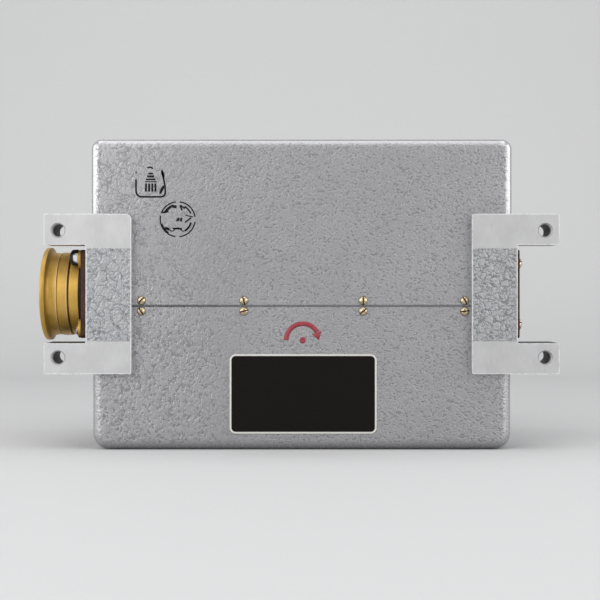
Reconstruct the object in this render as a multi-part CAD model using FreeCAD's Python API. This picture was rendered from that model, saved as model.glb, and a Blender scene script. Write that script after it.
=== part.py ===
import FreeCAD, Part
import math
import os

from FreeCAD import Placement, Rotation, Vector

# Damping gyro unit, millimetres. +X runs along the case, +Y goes into the case from the mounting
# plane, +Z is up. The origin is the centre of the four foot holes, on the feet's mounting plane.

# Feet and brackets
FOOT_REACH = 15.0
FOOT_PITCH_Z = 69.0
FOOT_HOLE_D = 7.0
FOOT_HOLE_CHAMFER = 0.5
EAR_END_MARGIN = 7.6
EAR_TOP_MARGIN = 8.9
EAR_HEIGHT = 16.7
EAR_THICKNESS = 24.5
BRACKET_FRONT_W = 24.7
BRACKET_PROUD = 2.0
BRACKET_SIDE_T = 6.0
BRACKET_SIDE_DEPTH = 62.0
BRACKET_CORNER_R = 1.0
BRACKET_BIG_CORNER_R = 3.0
BRACKET_EDGE_R = 0.5

# Case
CASE_W = 230.0
CASE_D = 112.0
CASE_TOP_Z = 84.6
CASE_BOTTOM_Z = -85.0
CASE_SETBACK = 4.0
CASE_WALL = 1.5
SPLIT_Z = -6.5
SPLIT_GAP = 0.6
UPPER_CORNER_R = 5.6
UPPER_FACE_R = 5.0
LOWER_CORNER_R = 9.0
LOWER_FACE_R = 6.0
LOWER_INSET = 0.6
NOTCH_CLEARANCE = 0.3

# Chassis
CHASSIS_FIT = 0.3
CHASSIS_PLATE_T = 4.0
CHASSIS_RIM_T = 4.0
CHASSIS_RIM_H = 14.0
CHASSIS_END_T = 3.5
CHASSIS_END_H = 82.0
CHASSIS_CORNER_R = 4.0
CHASSIS_VENT_D = 30.0

# Round-head screws along the split
COVER_SCREW_HEAD_D = 4.7
COVER_SCREW_HEAD_H = 1.6
COVER_SCREW_D = 2.5
COVER_SCREW_LENGTH = 6.0
COVER_SCREW_ROW_X = 0.7
COVER_SCREW_MARGIN = 4.2
COVER_SCREW_INNER_X = (-32.2, 32.8)
COVER_SCREW_OFF_SPLIT = 2.9
COVER_SCREW_TURNS = (48, 105, 90, 120, 122, 15, 40, 8)
FLANGE_SCREW_TURN = 20
END_SCREW_TURN = 70
BRACKET_SCREW_TURN = 35
GYRO_SCREW_TURN = 40

# Connector and its cap, heights counted outwards from the left bracket's face
CONNECTOR_Y = 32.0
FLANGE_T = 1.8
FLANGE_RIM = 1.1
FLANGE_LUG_D = 8.6
FLANGE_SCREW_GAP = 2.0
GASKET_T = 4.0
GASKET_CORNER_R = 2.0
GASKET_MARGIN = 4.4
BARREL_D = 40.0
BARREL_WALL = 2.5
BARREL_REAR = 11.5
BARREL_REAR_STEP = 1.0
BARREL_HOLE_CLEARANCE = 0.5
COLLAR_STEP = 2.9
COLLAR_T = 5.2
CAP_GAP = 1.0
CAP_WALL = 3.2
CAP_BAND_T = 5.3
CAP_GROOVE_T = 0.5
CAP_GROOVE_DEPTH = 0.6
CAP_INNER_BAND_DROP = 0.3
CAP_LIP_REACH = 2.7
CAP_LIP_T = 2.6
CAP_FLARE_LENGTH = 4.2
CAP_LIP_CHAMFER = 0.6
CAP_LENGTH = 14.6
CAP_END_WALL = 2.6
CAP_DISH_RIM = 5.0
CAP_DISH_DEPTH = 1.0
CAP_CLEARANCE = 0.1
CAP_GASKET_T = 1.3
INSERT_FACE = 13.0
INSERT_REAR = 9.5
CONTACT_D = 2.5
CONTACT_TIP = 18.8
CONTACT_TAIL = 3.0
CONTACT_PITCH = 6.2
CONTACT_RING_COUNT = 3

# Flange screws, the cup over one of them and the end plate
FLANGE_SCREW_HEAD_D = 6.2
FLANGE_SCREW_HEAD_H = 1.7
FLANGE_SCREW_D = 3.0
FLANGE_SCREW_GRIP = 4.0
CUP_ROOM = 0.2
CUP_WALL = 0.4
CUP_HEIGHT = 2.9
MASTIC_OVERHANG = 1.0
MASTIC_HEIGHT = 1.6
MASTIC_CROWN_SHARE = 0.6
MASTIC_WINDOW_SHARE = 0.85
END_PLATE_T = 2.4
END_PLATE_HOLE_D = 30.0
END_SCREW_PITCH = 33.6
END_SCREW_HEAD_D = 7.0
END_SCREW_HEAD_H = 2.6

# Bracket screws
BRACKET_SCREW_HEAD_D = 7.0
BRACKET_SCREW_HEAD_H = 2.8
BRACKET_SCREW_D = 4.0
BRACKET_SCREW_Y = (33.0, 54.0)
BRACKET_SCREW_Z = 34.5

# Plate on the lower cover
PLATE_W = 80.0
PLATE_H = 43.2
PLATE_T = 0.6
PLATE_X = 0.8
PLATE_Z = -54.4
PLATE_CORNER_R = 3.3

# Rate gyro module: pivot axis along local Y, centred on the gimbal
ROTOR_D = 36.0
ROTOR_W = 26.0
ROTOR_RIM_T = 5.5
ROTOR_WEB_T = 3.5
ROTOR_CHAMFER = 1.0
AXLE_D = 4.0
AXLE_COLLAR_D = 5.6
AXLE_COLLAR_GAP = 0.2
SPIN_BEARING_D = 9.0
STATOR_GAP = 1.0
STATOR_W = 13.0
GIMBAL_END_GAP = 2.5
GIMBAL_SIDE_GAP = 2.0
GIMBAL_WALL = 4.0
GIMBAL_SIDE_WALL = 4.5
GIMBAL_H = 12.0
GIMBAL_CORNER_R = 2.0
PIVOT_D = 6.0
PIVOT_BEARING_D = 11.0
POST_GAP = 1.5
POST_T = 5.5
POST_W = 20.0
AXIS_HEIGHT = 27.0
BASE_T = 4.0
BASE_W = 46.0
BASE_MARGIN = 1.5
ANCHOR_GAP = 3.5
ANCHOR_T = 4.0
ANCHOR_W = 12.0
TORSION_BAR_D = 1.5
TORSION_BAR_GRIP = 9.5
TORSION_BORE_ROOM = 1.0
ROCKER_GAP = 1.5
ROCKER_T = 4.0
ROCKER_H = 4.0
ROCKER_HUB_D = 12.0
ROCKER_ARM = 15.0
ROCKER_EYE = 3.5
ARMATURE_ARM = 21.0
ARMATURE_T = 1.5
ARMATURE_H = 10.0
ARMATURE_ROOT = 1.0
PICKOFF_GAP = 0.75
PICKOFF_OVERHANG = 1.0
PICKOFF_ARM_GAP = 0.7
PICKOFF_LIMB_T = 2.0
PICKOFF_W = 7.0
PICKOFF_COIL_T = 1.5
PICKOFF_THROAT = 8.0
DAMPER_D = 10.0
DAMPER_BORE_D = 7.6
DAMPER_FLOOR_T = 1.5
DAMPER_TOP_DROP = 7.0
DAMPER_PISTON_T = 4.0
DAMPER_PISTON_DROP = 16.0
DAMPER_ROD_D = 2.5
DAMPER_PIN_D = 2.0
DAMPER_OFFSET = 3.5
DAMPER_PIN_SHORT = 0.5
DAMPER_SLOT_W = 3.0
STOP_D = 2.5
STOP_ARM = 8.0
STOP_GAP = 0.85
GYRO_SCREW_D = 3.0
GYRO_SCREW_HEAD_D = 5.5
GYRO_SCREW_HEAD_H = 2.2
GYRO_SCREW_X = 18.5
GYRO_SCREW_Y = 28.0
GYRO_SPACING = 2.5

# Parts hung under the chassis plate
TRANSFORMER_W = 44.0
TRANSFORMER_D = 36.0
TRANSFORMER_STACK = 21.6
TRANSFORMER_H = 40.0
TRANSFORMER_COIL_SPREAD = 6.0
TRANSFORMER_X = -58.0
RELAY_W = 20.0
RELAY_H = 32.0
RELAY_GAP = 5.0
RELAY_CORNER_R = 1.5
RELAY_X = 62.0
CAPACITOR_D = 18.0
CAPACITOR_H = 42.0
CAPACITOR_PITCH = 22.0
BOARD_W = 150.0
BOARD_H = 46.0
BOARD_T = 2.0
BOARD_STANDOFF = 9.0
BOARD_RIM_GAP = 1.0
BOARD_LUG_W = 8.0
BOARD_LUG_INSET = 8.0
BOARD_PIN_LENGTH = 6.0
BOARD_PIN_D = 2.4
BOARD_PIN_COUNT = 9

# Fits
RUNNING_CLEARANCE = 0.03
SEAT_CLEARANCE = 0.02
SCREW_CLEARANCE = 0.05
SLOT_SHARE = 0.15

# Places worked out from the sizes above
AX = Vector(1, 0, 0)
AY = Vector(0, 1, 0)
AZ = Vector(0, 0, 1)
BRACKET_TOP_Z = FOOT_PITCH_Z / 2 + EAR_TOP_MARGIN
EAR_INNER_Z = BRACKET_TOP_Z - EAR_HEIGHT
BRACKET_FACE_X = CASE_W / 2 + BRACKET_PROUD
FOOT_X = BRACKET_FACE_X + FOOT_REACH
EAR_END_X = FOOT_X + EAR_END_MARGIN
BRACKET_INNER_X = BRACKET_FACE_X - BRACKET_FRONT_W
BRACKET_SEAT_X = BRACKET_FACE_X - BRACKET_SIDE_T
COVER_SCREW_OUTER_X = BRACKET_INNER_X - COVER_SCREW_MARGIN
CASE_BACK_Y = CASE_SETBACK + CASE_D
CASE_MID_Y = CASE_SETBACK + CASE_D / 2
CHASSIS_FRONT_Y = CASE_SETBACK + CASE_WALL + CHASSIS_FIT
CHASSIS_BACK_Y = CASE_BACK_Y - CASE_WALL - CHASSIS_FIT
DECK_TOP_Z = SPLIT_Z + CHASSIS_PLATE_T / 2
DECK_UNDER_Z = SPLIT_Z - CHASSIS_PLATE_T / 2
GYRO_AXIS_Z = DECK_TOP_Z + BASE_T + AXIS_HEIGHT
GIMBAL_END = ROTOR_W / 2 + GIMBAL_END_GAP + GIMBAL_WALL
GIMBAL_SIDE = ROTOR_D / 2 + GIMBAL_SIDE_GAP + GIMBAL_SIDE_WALL
POST_IN = GIMBAL_SIDE + POST_GAP
POST_OUT = POST_IN + POST_T
ANCHOR_IN = POST_OUT + ANCHOR_GAP
ANCHOR_OUT = ANCHOR_IN + ANCHOR_T
ROCKER_IN = POST_OUT + ROCKER_GAP
ROCKER_OUT = ROCKER_IN + ROCKER_T
ROCKER_MID = (ROCKER_IN + ROCKER_OUT) / 2
DAMPER_MID = ROCKER_OUT + DAMPER_OFFSET
BASE_FRONT = -ANCHOR_OUT - BASE_MARGIN
BASE_BACK = DAMPER_MID + DAMPER_D / 2 + BASE_MARGIN
GYRO_SIDE_X = (BASE_BACK - BASE_FRONT) / 2 + GYRO_SPACING + BASE_W / 2
GYRO_SIDE_Y = CASE_MID_Y - (BASE_FRONT + BASE_BACK) / 2
BARREL_REAR_D = BARREL_D - 2 * BARREL_REAR_STEP
COLLAR_D = BARREL_D + 2 * COLLAR_STEP
COLLAR_END = GASKET_T + FLANGE_T + COLLAR_T
FLANGE_SCREW_PITCH = (COLLAR_D / 2 + FLANGE_SCREW_GAP + FLANGE_SCREW_HEAD_D / 2) * math.sqrt(2)
FLANGE_D = COLLAR_D + 2 * FLANGE_RIM
GASKET_SIDE = FLANGE_SCREW_PITCH + 2 * GASKET_MARGIN
CUP_D = FLANGE_SCREW_HEAD_D + 2 * (CUP_ROOM + CUP_WALL)
MASTIC_D = CUP_D + 2 * MASTIC_OVERHANG
CAP_SKIRT = COLLAR_END + CAP_GAP
CAP_END = CAP_SKIRT + CAP_LENGTH
BARREL_MOUTH = CAP_END - CAP_END_WALL - CAP_GASKET_T - CAP_CLEARANCE


def box(x0, x1, y0, y1, z0, z1):
    return Part.makeBox(x1 - x0, y1 - y0, z1 - z0, Vector(x0, y0, z0))


def rod(diameter, base, direction, length):
    return Part.makeCylinder(diameter / 2, length, base, direction)


def fused(shapes):
    return shapes[0].multiFuse(shapes[1:]).removeSplitter()


def turned(outline):
    # A solid of revolution round local Z from (radius, height) corners
    corners = [Vector(radius, 0, height) for radius, height in outline]
    return Part.Face(Part.makePolygon(corners + corners[:1])).revolve(Vector(), AZ, 360)


def ring(outer_d, inner_d, height, base_height):
    top = base_height + height
    inner, outer = inner_d / 2, outer_d / 2
    return turned([(inner, base_height), (outer, base_height), (outer, top), (inner, top)])


def placed(shape, place):
    moved = shape.copy()
    moved.Placement = place.multiply(moved.Placement)
    return moved


def facing(position, direction):
    # Carries local +Z to the given direction, at the given position
    return Placement(position, Rotation(AZ, direction))


def flat_edges(shape, axis, value, skip_axis, skip_value):
    # Edges that lie in one plane, without those that also lie in a second plane
    found = []
    for edge in shape.Edges:
        bounds = edge.BoundBox
        low, high = getattr(bounds, axis + "Min"), getattr(bounds, axis + "Max")
        skip_low, skip_high = getattr(bounds, skip_axis + "Min"), getattr(bounds, skip_axis + "Max")
        in_plane = abs(low - value) < 1e-4 and abs(high - value) < 1e-4
        skipped = abs(skip_low - skip_value) < 1e-4 and abs(skip_high - skip_value) < 1e-4
        if in_plane and not skipped:
            found.append(edge)
    return found


def corner_edges(shape, axis, length, places):
    # Straight edges along one axis that pass through given places in the plane across it
    found = []
    for edge in shape.Edges:
        bounds = edge.BoundBox
        if abs(getattr(bounds, axis + "Length") - length) > 1e-4:
            continue
        centre = edge.CenterOfMass
        if any((centre - place).Length < 1e-3 for place in places):
            found.append(edge)
    return found


def save(name, solids):
    solids = solids if isinstance(solids, list) else [solids]
    shape = solids[0] if len(solids) == 1 else Part.makeCompound(solids)
    shape.exportStep("parts/" + name + ".step")


def screw(head_d, head_h, shank_d, length, turn, domed):
    # Slotted screw along local Z: seat at zero, head above, shank below
    rim = head_h * 0.2 if domed else head_h
    half = head_d / 2
    corners = [(0, -length), (shank_d / 2, -length), (shank_d / 2, 0), (half, 0), (half, rim)]
    points = [Vector(radius, 0, height) for radius, height in corners]
    edges = [Part.LineSegment(a, b).toShape() for a, b in zip(points, points[1:])]
    if domed:
        rise = head_h - rim
        ball = (half * half + rise * rise) / (2 * rise)
        angle = math.asin(half / ball) / 2
        middle = Vector(ball * math.sin(angle), 0, head_h - ball + ball * math.cos(angle))
        edges.append(Part.Arc(points[-1], middle, Vector(0, 0, head_h)).toShape())
    else:
        edges.append(Part.LineSegment(points[-1], Vector(0, 0, head_h)).toShape())
    edges.append(Part.LineSegment(Vector(0, 0, head_h), points[0]).toShape())
    body = Part.Face(Part.Wire(edges)).revolve(Vector(), AZ, 360)
    slot = head_d * SLOT_SHARE / 2
    cutter = box(-head_d, head_d, -slot, slot, head_h * 0.5, head_h * 2)
    cutter.rotate(Vector(), AZ, turn)
    return body.cut(cutter)


def square_places(pitch, x, y_mid):
    # Four corners of a square in a plane across X
    half = pitch / 2
    return [Vector(x, y_mid + side * half, level * half) for side in (-1, 1) for level in (-1, 1)]


# Brackets

def bracket_screw_places(x):
    return [Vector(x, y, side * BRACKET_SCREW_Z) for y in BRACKET_SCREW_Y for side in (-1, 1)]


def bracket_blank():
    # Right-hand bracket: front flange, side flange and two ears, with the foot holes
    front = box(BRACKET_INNER_X, EAR_END_X, 0, CASE_SETBACK, -BRACKET_TOP_Z, BRACKET_TOP_Z)
    side = box(BRACKET_SEAT_X, BRACKET_FACE_X, 0, BRACKET_SIDE_DEPTH, -BRACKET_TOP_Z, BRACKET_TOP_Z)
    ears = box(BRACKET_SEAT_X, EAR_END_X, 0, EAR_THICKNESS, -BRACKET_TOP_Z, BRACKET_TOP_Z)
    gap = box(BRACKET_FACE_X, EAR_END_X * 2, -1, EAR_THICKNESS + 1, -EAR_INNER_Z, EAR_INNER_Z)
    blank = fused([front, side, ears]).cut(gap).removeSplitter()
    roots = [Vector(BRACKET_FACE_X, EAR_THICKNESS / 2, level * EAR_INNER_Z) for level in (-1, 1)]
    return blank.makeFillet(BRACKET_CORNER_R, corner_edges(blank, "Y", EAR_THICKNESS, roots))


def bracket(upper_corner_r, window_d, screw_pitch):
    body = bracket_blank()
    for level, radius in ((1, upper_corner_r), (-1, BRACKET_CORNER_R)):
        corner = [Vector(BRACKET_INNER_X, CASE_SETBACK / 2, level * BRACKET_TOP_Z)]
        body = body.makeFillet(radius, corner_edges(body, "Y", CASE_SETBACK, corner))
    ends = [Vector(EAR_END_X, EAR_THICKNESS / 2, side * level)
            for side in (-1, 1) for level in (EAR_INNER_Z, BRACKET_TOP_Z)]
    body = body.makeFillet(BRACKET_EDGE_R, corner_edges(body, "Y", EAR_THICKNESS, ends))
    holes = []
    for level in (-1, 1):
        axis = Vector(FOOT_X, 0, level * FOOT_PITCH_Z / 2)
        near_d = FOOT_HOLE_D + 2 * FOOT_HOLE_CHAMFER
        holes.append(rod(FOOT_HOLE_D, axis - AY, AY, EAR_THICKNESS + 2))
        holes.append(placed(turned([(0, 0), (near_d / 2, 0), (FOOT_HOLE_D / 2, FOOT_HOLE_CHAMFER),
                                    (0, FOOT_HOLE_CHAMFER)]), facing(axis, AY)))
    window = Vector(BRACKET_SEAT_X - 1, CONNECTOR_Y, 0)
    holes.append(rod(window_d, window, AX, BRACKET_SIDE_T + 2))
    holes += [rod(BRACKET_SCREW_D + 2 * SCREW_CLEARANCE, place, AX, BRACKET_SIDE_T + 2)
              for place in bracket_screw_places(BRACKET_SEAT_X - 1)]
    holes += [rod(FLANGE_SCREW_D + 2 * SCREW_CLEARANCE, place, AX, BRACKET_SIDE_T + 2)
              for place in square_places(screw_pitch, BRACKET_SEAT_X - 1, CONNECTOR_Y)]
    return body.cut(Part.makeCompound(holes))


def mirrored(shape):
    return shape.mirror(Vector(), AX)


def make_brackets():
    connector_window = BARREL_REAR_D + 2 * BARREL_HOLE_CLEARANCE
    save("left_bracket", mirrored(bracket(BRACKET_BIG_CORNER_R, connector_window, FLANGE_SCREW_PITCH)))
    save("right_bracket", bracket(BRACKET_CORNER_R, END_PLATE_HOLE_D, END_SCREW_PITCH))
    length = BRACKET_SIDE_T + CHASSIS_END_T
    one = screw(BRACKET_SCREW_HEAD_D, BRACKET_SCREW_HEAD_H, BRACKET_SCREW_D, length,
                BRACKET_SCREW_TURN, False)
    screws = [placed(one, facing(place, AX)) for place in bracket_screw_places(BRACKET_FACE_X)]
    screws += [mirrored(each) for each in screws]
    save("bracket_screws", screws)


# Covers

def rounded_block(half_w, y0, y1, z_open, z_closed, corner_r, face_r):
    # A block with rounded corners seen from the front, then rounded round its front and back faces
    block = box(-half_w, half_w, y0, y1, min(z_open, z_closed), max(z_open, z_closed))
    corners = [Vector(side * half_w, (y0 + y1) / 2, z_closed) for side in (-1, 1)]
    block = block.makeFillet(corner_r, corner_edges(block, "Y", y1 - y0, corners))
    rim = flat_edges(block, "Y", y0, "Z", z_open) + flat_edges(block, "Y", y1, "Z", z_open)
    return block.makeFillet(face_r, rim)


def shell(half_w, z_open, z_closed, corner_r, face_r):
    outside = rounded_block(half_w, CASE_SETBACK, CASE_BACK_Y, z_open, z_closed, corner_r, face_r)
    inward = math.copysign(CASE_WALL, z_open - z_closed)
    inside = rounded_block(half_w - CASE_WALL, CASE_SETBACK + CASE_WALL, CASE_BACK_Y - CASE_WALL,
                           z_open + inward, z_closed + inward, corner_r - CASE_WALL, face_r - CASE_WALL)
    return outside.cut(inside)


def cover_screw_places(z):
    row = [-COVER_SCREW_OUTER_X, *COVER_SCREW_INNER_X, COVER_SCREW_OUTER_X]
    return [Vector(COVER_SCREW_ROW_X + x, 0, z) for x in row]


def cover(half_w, z_open, z_closed, corner_r, face_r):
    # Thin shell, open at the split, notched at both ends for the brackets' side flanges
    body = shell(half_w, z_open, z_closed, corner_r, face_r)
    notch_x = BRACKET_SEAT_X - NOTCH_CLEARANCE
    notch_z = BRACKET_TOP_Z + NOTCH_CLEARANCE
    notch = box(notch_x, CASE_W, 0, BRACKET_SIDE_DEPTH + NOTCH_CLEARANCE, -notch_z, notch_z)
    side = math.copysign(1, z_closed - z_open)
    holes = [notch, mirrored(notch)]
    for place in cover_screw_places(SPLIT_Z + side * COVER_SCREW_OFF_SPLIT):
        holes.append(rod(COVER_SCREW_D + 2 * SCREW_CLEARANCE, place, AY, CASE_BACK_Y + 1))
    return body.cut(Part.makeCompound(holes))


def make_covers():
    half_w = CASE_W / 2
    save("upper_cover", cover(half_w, SPLIT_Z + SPLIT_GAP / 2, CASE_TOP_Z, UPPER_CORNER_R, UPPER_FACE_R))
    save("lower_cover", cover(half_w - LOWER_INSET, SPLIT_Z - SPLIT_GAP / 2, CASE_BOTTOM_Z,
                              LOWER_CORNER_R, LOWER_FACE_R))
    front, rear = [], []
    turns = iter(COVER_SCREW_TURNS)
    for side in (1, -1):
        for place in cover_screw_places(SPLIT_Z + side * COVER_SCREW_OFF_SPLIT):
            one = screw(COVER_SCREW_HEAD_D, COVER_SCREW_HEAD_H, COVER_SCREW_D, COVER_SCREW_LENGTH,
                        next(turns), True)
            front.append(placed(one, facing(place + AY * CASE_SETBACK, -AY)))
            rear.append(placed(one, facing(place + AY * CASE_BACK_Y, AY)))
    save("front_cover_screws", front)
    save("rear_cover_screws", rear)
    plate = box(PLATE_X - PLATE_W / 2, PLATE_X + PLATE_W / 2, CASE_SETBACK - PLATE_T, CASE_SETBACK,
                PLATE_Z - PLATE_H / 2, PLATE_Z + PLATE_H / 2)
    corners = [Vector(PLATE_X + side * PLATE_W / 2, CASE_SETBACK - PLATE_T / 2, PLATE_Z + level * PLATE_H / 2)
               for side in (-1, 1) for level in (-1, 1)]
    save("front_plate", plate.makeFillet(PLATE_CORNER_R, corner_edges(plate, "Y", PLATE_T, corners)))


# Chassis

def gyro_modules():
    # Name, place of the gimbal centre and whether the rotor stands upright
    middle_x = -(BASE_FRONT + BASE_BACK) / 2
    return [
        ("gyro_x", Placement(Vector(-GYRO_SIDE_X, GYRO_SIDE_Y, GYRO_AXIS_Z), Rotation(AZ, 0)), True),
        ("gyro_y", Placement(Vector(middle_x, CASE_MID_Y, GYRO_AXIS_Z), Rotation(AZ, -90)), True),
        ("gyro_z", Placement(Vector(GYRO_SIDE_X, GYRO_SIDE_Y, GYRO_AXIS_Z), Rotation(AZ, 0)), False),
    ]


def gyro_screw_places():
    places = [Vector(side * GYRO_SCREW_X, level * GYRO_SCREW_Y, -AXIS_HEIGHT)
              for side in (-1, 1) for level in (-1, 1)]
    return [place.multVec(each) for _, place, _ in gyro_modules() for each in places]


def make_chassis():
    # A deck at the split with a deep rim, and an end wall behind each bracket
    deck = box(-BRACKET_SEAT_X, BRACKET_SEAT_X, CHASSIS_FRONT_Y, CHASSIS_BACK_Y,
               SPLIT_Z - CHASSIS_RIM_H / 2, SPLIT_Z + CHASSIS_RIM_H / 2)
    upright = [Vector(side * BRACKET_SEAT_X, y, SPLIT_Z) for side in (-1, 1)
               for y in (CHASSIS_FRONT_Y, CHASSIS_BACK_Y)]
    deck = deck.makeFillet(CHASSIS_CORNER_R, corner_edges(deck, "Z", CHASSIS_RIM_H, upright))
    inner_x = BRACKET_SEAT_X - CHASSIS_END_T
    inner_y0 = CHASSIS_FRONT_Y + CHASSIS_RIM_T
    inner_y1 = CHASSIS_BACK_Y - CHASSIS_RIM_T
    above = box(-inner_x, inner_x, inner_y0, inner_y1, DECK_TOP_Z, SPLIT_Z + CHASSIS_RIM_H)
    below = box(-inner_x, inner_x, inner_y0, inner_y1, SPLIT_Z - CHASSIS_RIM_H, DECK_UNDER_Z)
    body = [deck.cut(above).cut(below)]
    for side in (-1, 1):
        x0, x1 = sorted((side * inner_x, side * BRACKET_SEAT_X))
        wall = box(x0, x1, CHASSIS_FRONT_Y + CHASSIS_CORNER_R, BRACKET_SIDE_DEPTH - CHASSIS_FIT,
                   -CHASSIS_END_H / 2, CHASSIS_END_H / 2)
        body.append(wall)
    body = fused(body)
    holes = []
    for side, window_d in ((-1, BARREL_REAR_D), (1, END_PLATE_HOLE_D)):
        start = Vector(side * (BRACKET_SEAT_X + 1), CONNECTOR_Y, 0)
        reach = BARREL_REAR + 2 if side < 0 else CHASSIS_END_T + 2
        holes.append(rod(window_d + 2 * BARREL_HOLE_CLEARANCE, start, AX * -side, reach))
        holes += [rod(BRACKET_SCREW_D + 2 * SCREW_CLEARANCE, place, AX * -side, CHASSIS_END_T + 2)
                  for place in bracket_screw_places(side * (BRACKET_SEAT_X + 1))]
    for side in (1, -1):
        for place in cover_screw_places(SPLIT_Z + side * COVER_SCREW_OFF_SPLIT):
            depth = COVER_SCREW_LENGTH + 1
            holes.append(rod(COVER_SCREW_D + 2 * SCREW_CLEARANCE, place + AY * CASE_SETBACK, AY, depth))
            holes.append(rod(COVER_SCREW_D + 2 * SCREW_CLEARANCE, place + AY * CASE_BACK_Y, -AY, depth))
    for place in gyro_screw_places():
        holes.append(rod(GYRO_SCREW_D + 2 * SCREW_CLEARANCE, place, -AZ, BASE_T + CHASSIS_PLATE_T + 1))
    for side in (-1, 1):
        vent = Vector(side * GYRO_SIDE_X, CASE_MID_Y, DECK_UNDER_Z - 1)
        holes.append(rod(CHASSIS_VENT_D, vent, AZ, CHASSIS_PLATE_T + 2))
    save("chassis", body.cut(Part.makeCompound(holes)))


# Connector

def outward(shape):
    # Carries a connector piece from its own axis to the left bracket's face
    return placed(shape, facing(Vector(-BRACKET_FACE_X, CONNECTOR_Y, 0), -AX))


def square_plate(side, base_height, thickness):
    half = side / 2
    plate = box(-half, half, -half, half, base_height, base_height + thickness)
    middle = base_height + thickness / 2
    corners = [Vector(x, y, middle) for x in (-half, half) for y in (-half, half)]
    return plate.makeFillet(GASKET_CORNER_R, corner_edges(plate, "Z", thickness, corners))


def plate_holes(pitch, hole_d, height):
    half = pitch / 2
    return [rod(hole_d, Vector(x, y, -1), AZ, height + 2) for x in (-half, half) for y in (-half, half)]


def lugged_disc():
    # The connector's flange: a disc with a rounded lug for each screw
    reach = FLANGE_SCREW_PITCH * math.sqrt(2) / 2
    half = FLANGE_LUG_D / 2
    parts = [rod(FLANGE_D, Vector(0, 0, GASKET_T), AZ, FLANGE_T)]
    for angle in (45, 135, 225, 315):
        lug = box(0, reach, -half, half, GASKET_T, GASKET_T + FLANGE_T)
        lug = fused([lug, rod(FLANGE_LUG_D, Vector(reach, 0, GASKET_T), AZ, FLANGE_T)])
        lug.rotate(Vector(), AZ, angle)
        parts.append(lug)
    return fused(parts)


def make_connector():
    seat = GASKET_T + FLANGE_T
    screw_hole = FLANGE_SCREW_D + 2 * SCREW_CLEARANCE
    holes = plate_holes(FLANGE_SCREW_PITCH, screw_hole, seat)
    gasket = square_plate(GASKET_SIDE, 0, GASKET_T)
    window = rod(BARREL_REAR_D + 2 * BARREL_HOLE_CLEARANCE, Vector(0, 0, -1), AZ, GASKET_T + 2)
    save("connector_gasket", outward(gasket.cut(Part.makeCompound(holes + [window]))))

    bore = BARREL_D / 2 - BARREL_WALL
    rear = -BARREL_REAR
    barrel = turned([(bore, rear), (BARREL_REAR_D / 2, rear), (BARREL_REAR_D / 2, GASKET_T),
                     (COLLAR_D / 2, GASKET_T), (COLLAR_D / 2, COLLAR_END), (BARREL_D / 2, COLLAR_END),
                     (BARREL_D / 2, BARREL_MOUTH), (bore, BARREL_MOUTH)])
    flange = lugged_disc().cut(rod(BARREL_D, Vector(0, 0, 0), AZ, seat + 1))
    shell_body = fused([barrel, flange]).cut(Part.makeCompound(holes))
    save("connector_shell", outward(shell_body))

    insert_r = bore - SEAT_CLEARANCE
    insert = turned([(0, -INSERT_REAR), (insert_r, -INSERT_REAR), (insert_r, INSERT_FACE), (0, INSERT_FACE)])
    contacts, sockets = [], []
    for lap in range(CONTACT_RING_COUNT):
        count, radius = max(1, 6 * lap), lap * CONTACT_PITCH
        for index in range(count):
            angle = 2 * math.pi * index / count
            foot = Vector(radius * math.cos(angle), radius * math.sin(angle), -INSERT_REAR - CONTACT_TAIL)
            contacts.append(outward(rod(CONTACT_D, foot, AZ, CONTACT_TIP + INSERT_REAR + CONTACT_TAIL)))
            sockets.append(rod(CONTACT_D + 2 * SEAT_CLEARANCE, foot, AZ,
                               INSERT_FACE + INSERT_REAR + 2 * CONTACT_TAIL))
    save("connector_insert", outward(insert.cut(Part.makeCompound(sockets))))
    save("connector_contacts", contacts)


def make_cap():
    bore = BARREL_D / 2 + CAP_CLEARANCE
    end = CAP_END
    groove = CAP_SKIRT + CAP_BAND_T
    band = bore + CAP_WALL
    inner_band, lip = band - CAP_INNER_BAND_DROP, band + CAP_LIP_REACH
    dish = lip - CAP_DISH_RIM
    lip_foot = end - CAP_LIP_T
    flare = lip - inner_band
    outline = [(bore, CAP_SKIRT), (band, CAP_SKIRT), (band, groove), (band - CAP_GROOVE_DEPTH, groove),
               (band - CAP_GROOVE_DEPTH, groove + CAP_GROOVE_T), (inner_band, groove + CAP_GROOVE_T),
               (inner_band, lip_foot - CAP_FLARE_LENGTH)]
    points = [Vector(radius, 0, height) for radius, height in outline]
    edges = [Part.LineSegment(a, b).toShape() for a, b in zip(points, points[1:])]
    bend = Vector(inner_band + flare * 0.3, 0, lip_foot - CAP_FLARE_LENGTH * 0.3)
    edges.append(Part.Arc(points[-1], bend, Vector(lip, 0, lip_foot)).toShape())
    rest = [(lip, lip_foot), (lip, end - CAP_LIP_CHAMFER), (lip - CAP_LIP_CHAMFER, end), (dish, end),
            (dish - CAP_DISH_DEPTH, end - CAP_DISH_DEPTH), (0, end - CAP_DISH_DEPTH),
            (0, end - CAP_END_WALL), (bore, end - CAP_END_WALL), (bore, CAP_SKIRT)]
    points = [Vector(radius, 0, height) for radius, height in rest]
    edges += [Part.LineSegment(a, b).toShape() for a, b in zip(points, points[1:])]
    cap = Part.Face(Part.Wire(edges)).revolve(Vector(), AZ, 360)
    save("protective_cap", outward(cap))
    base = end - CAP_END_WALL - CAP_GASKET_T
    save("cap_gasket", outward(ring(BARREL_D, BARREL_D - 2 * BARREL_WALL, CAP_GASKET_T, base)))


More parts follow.
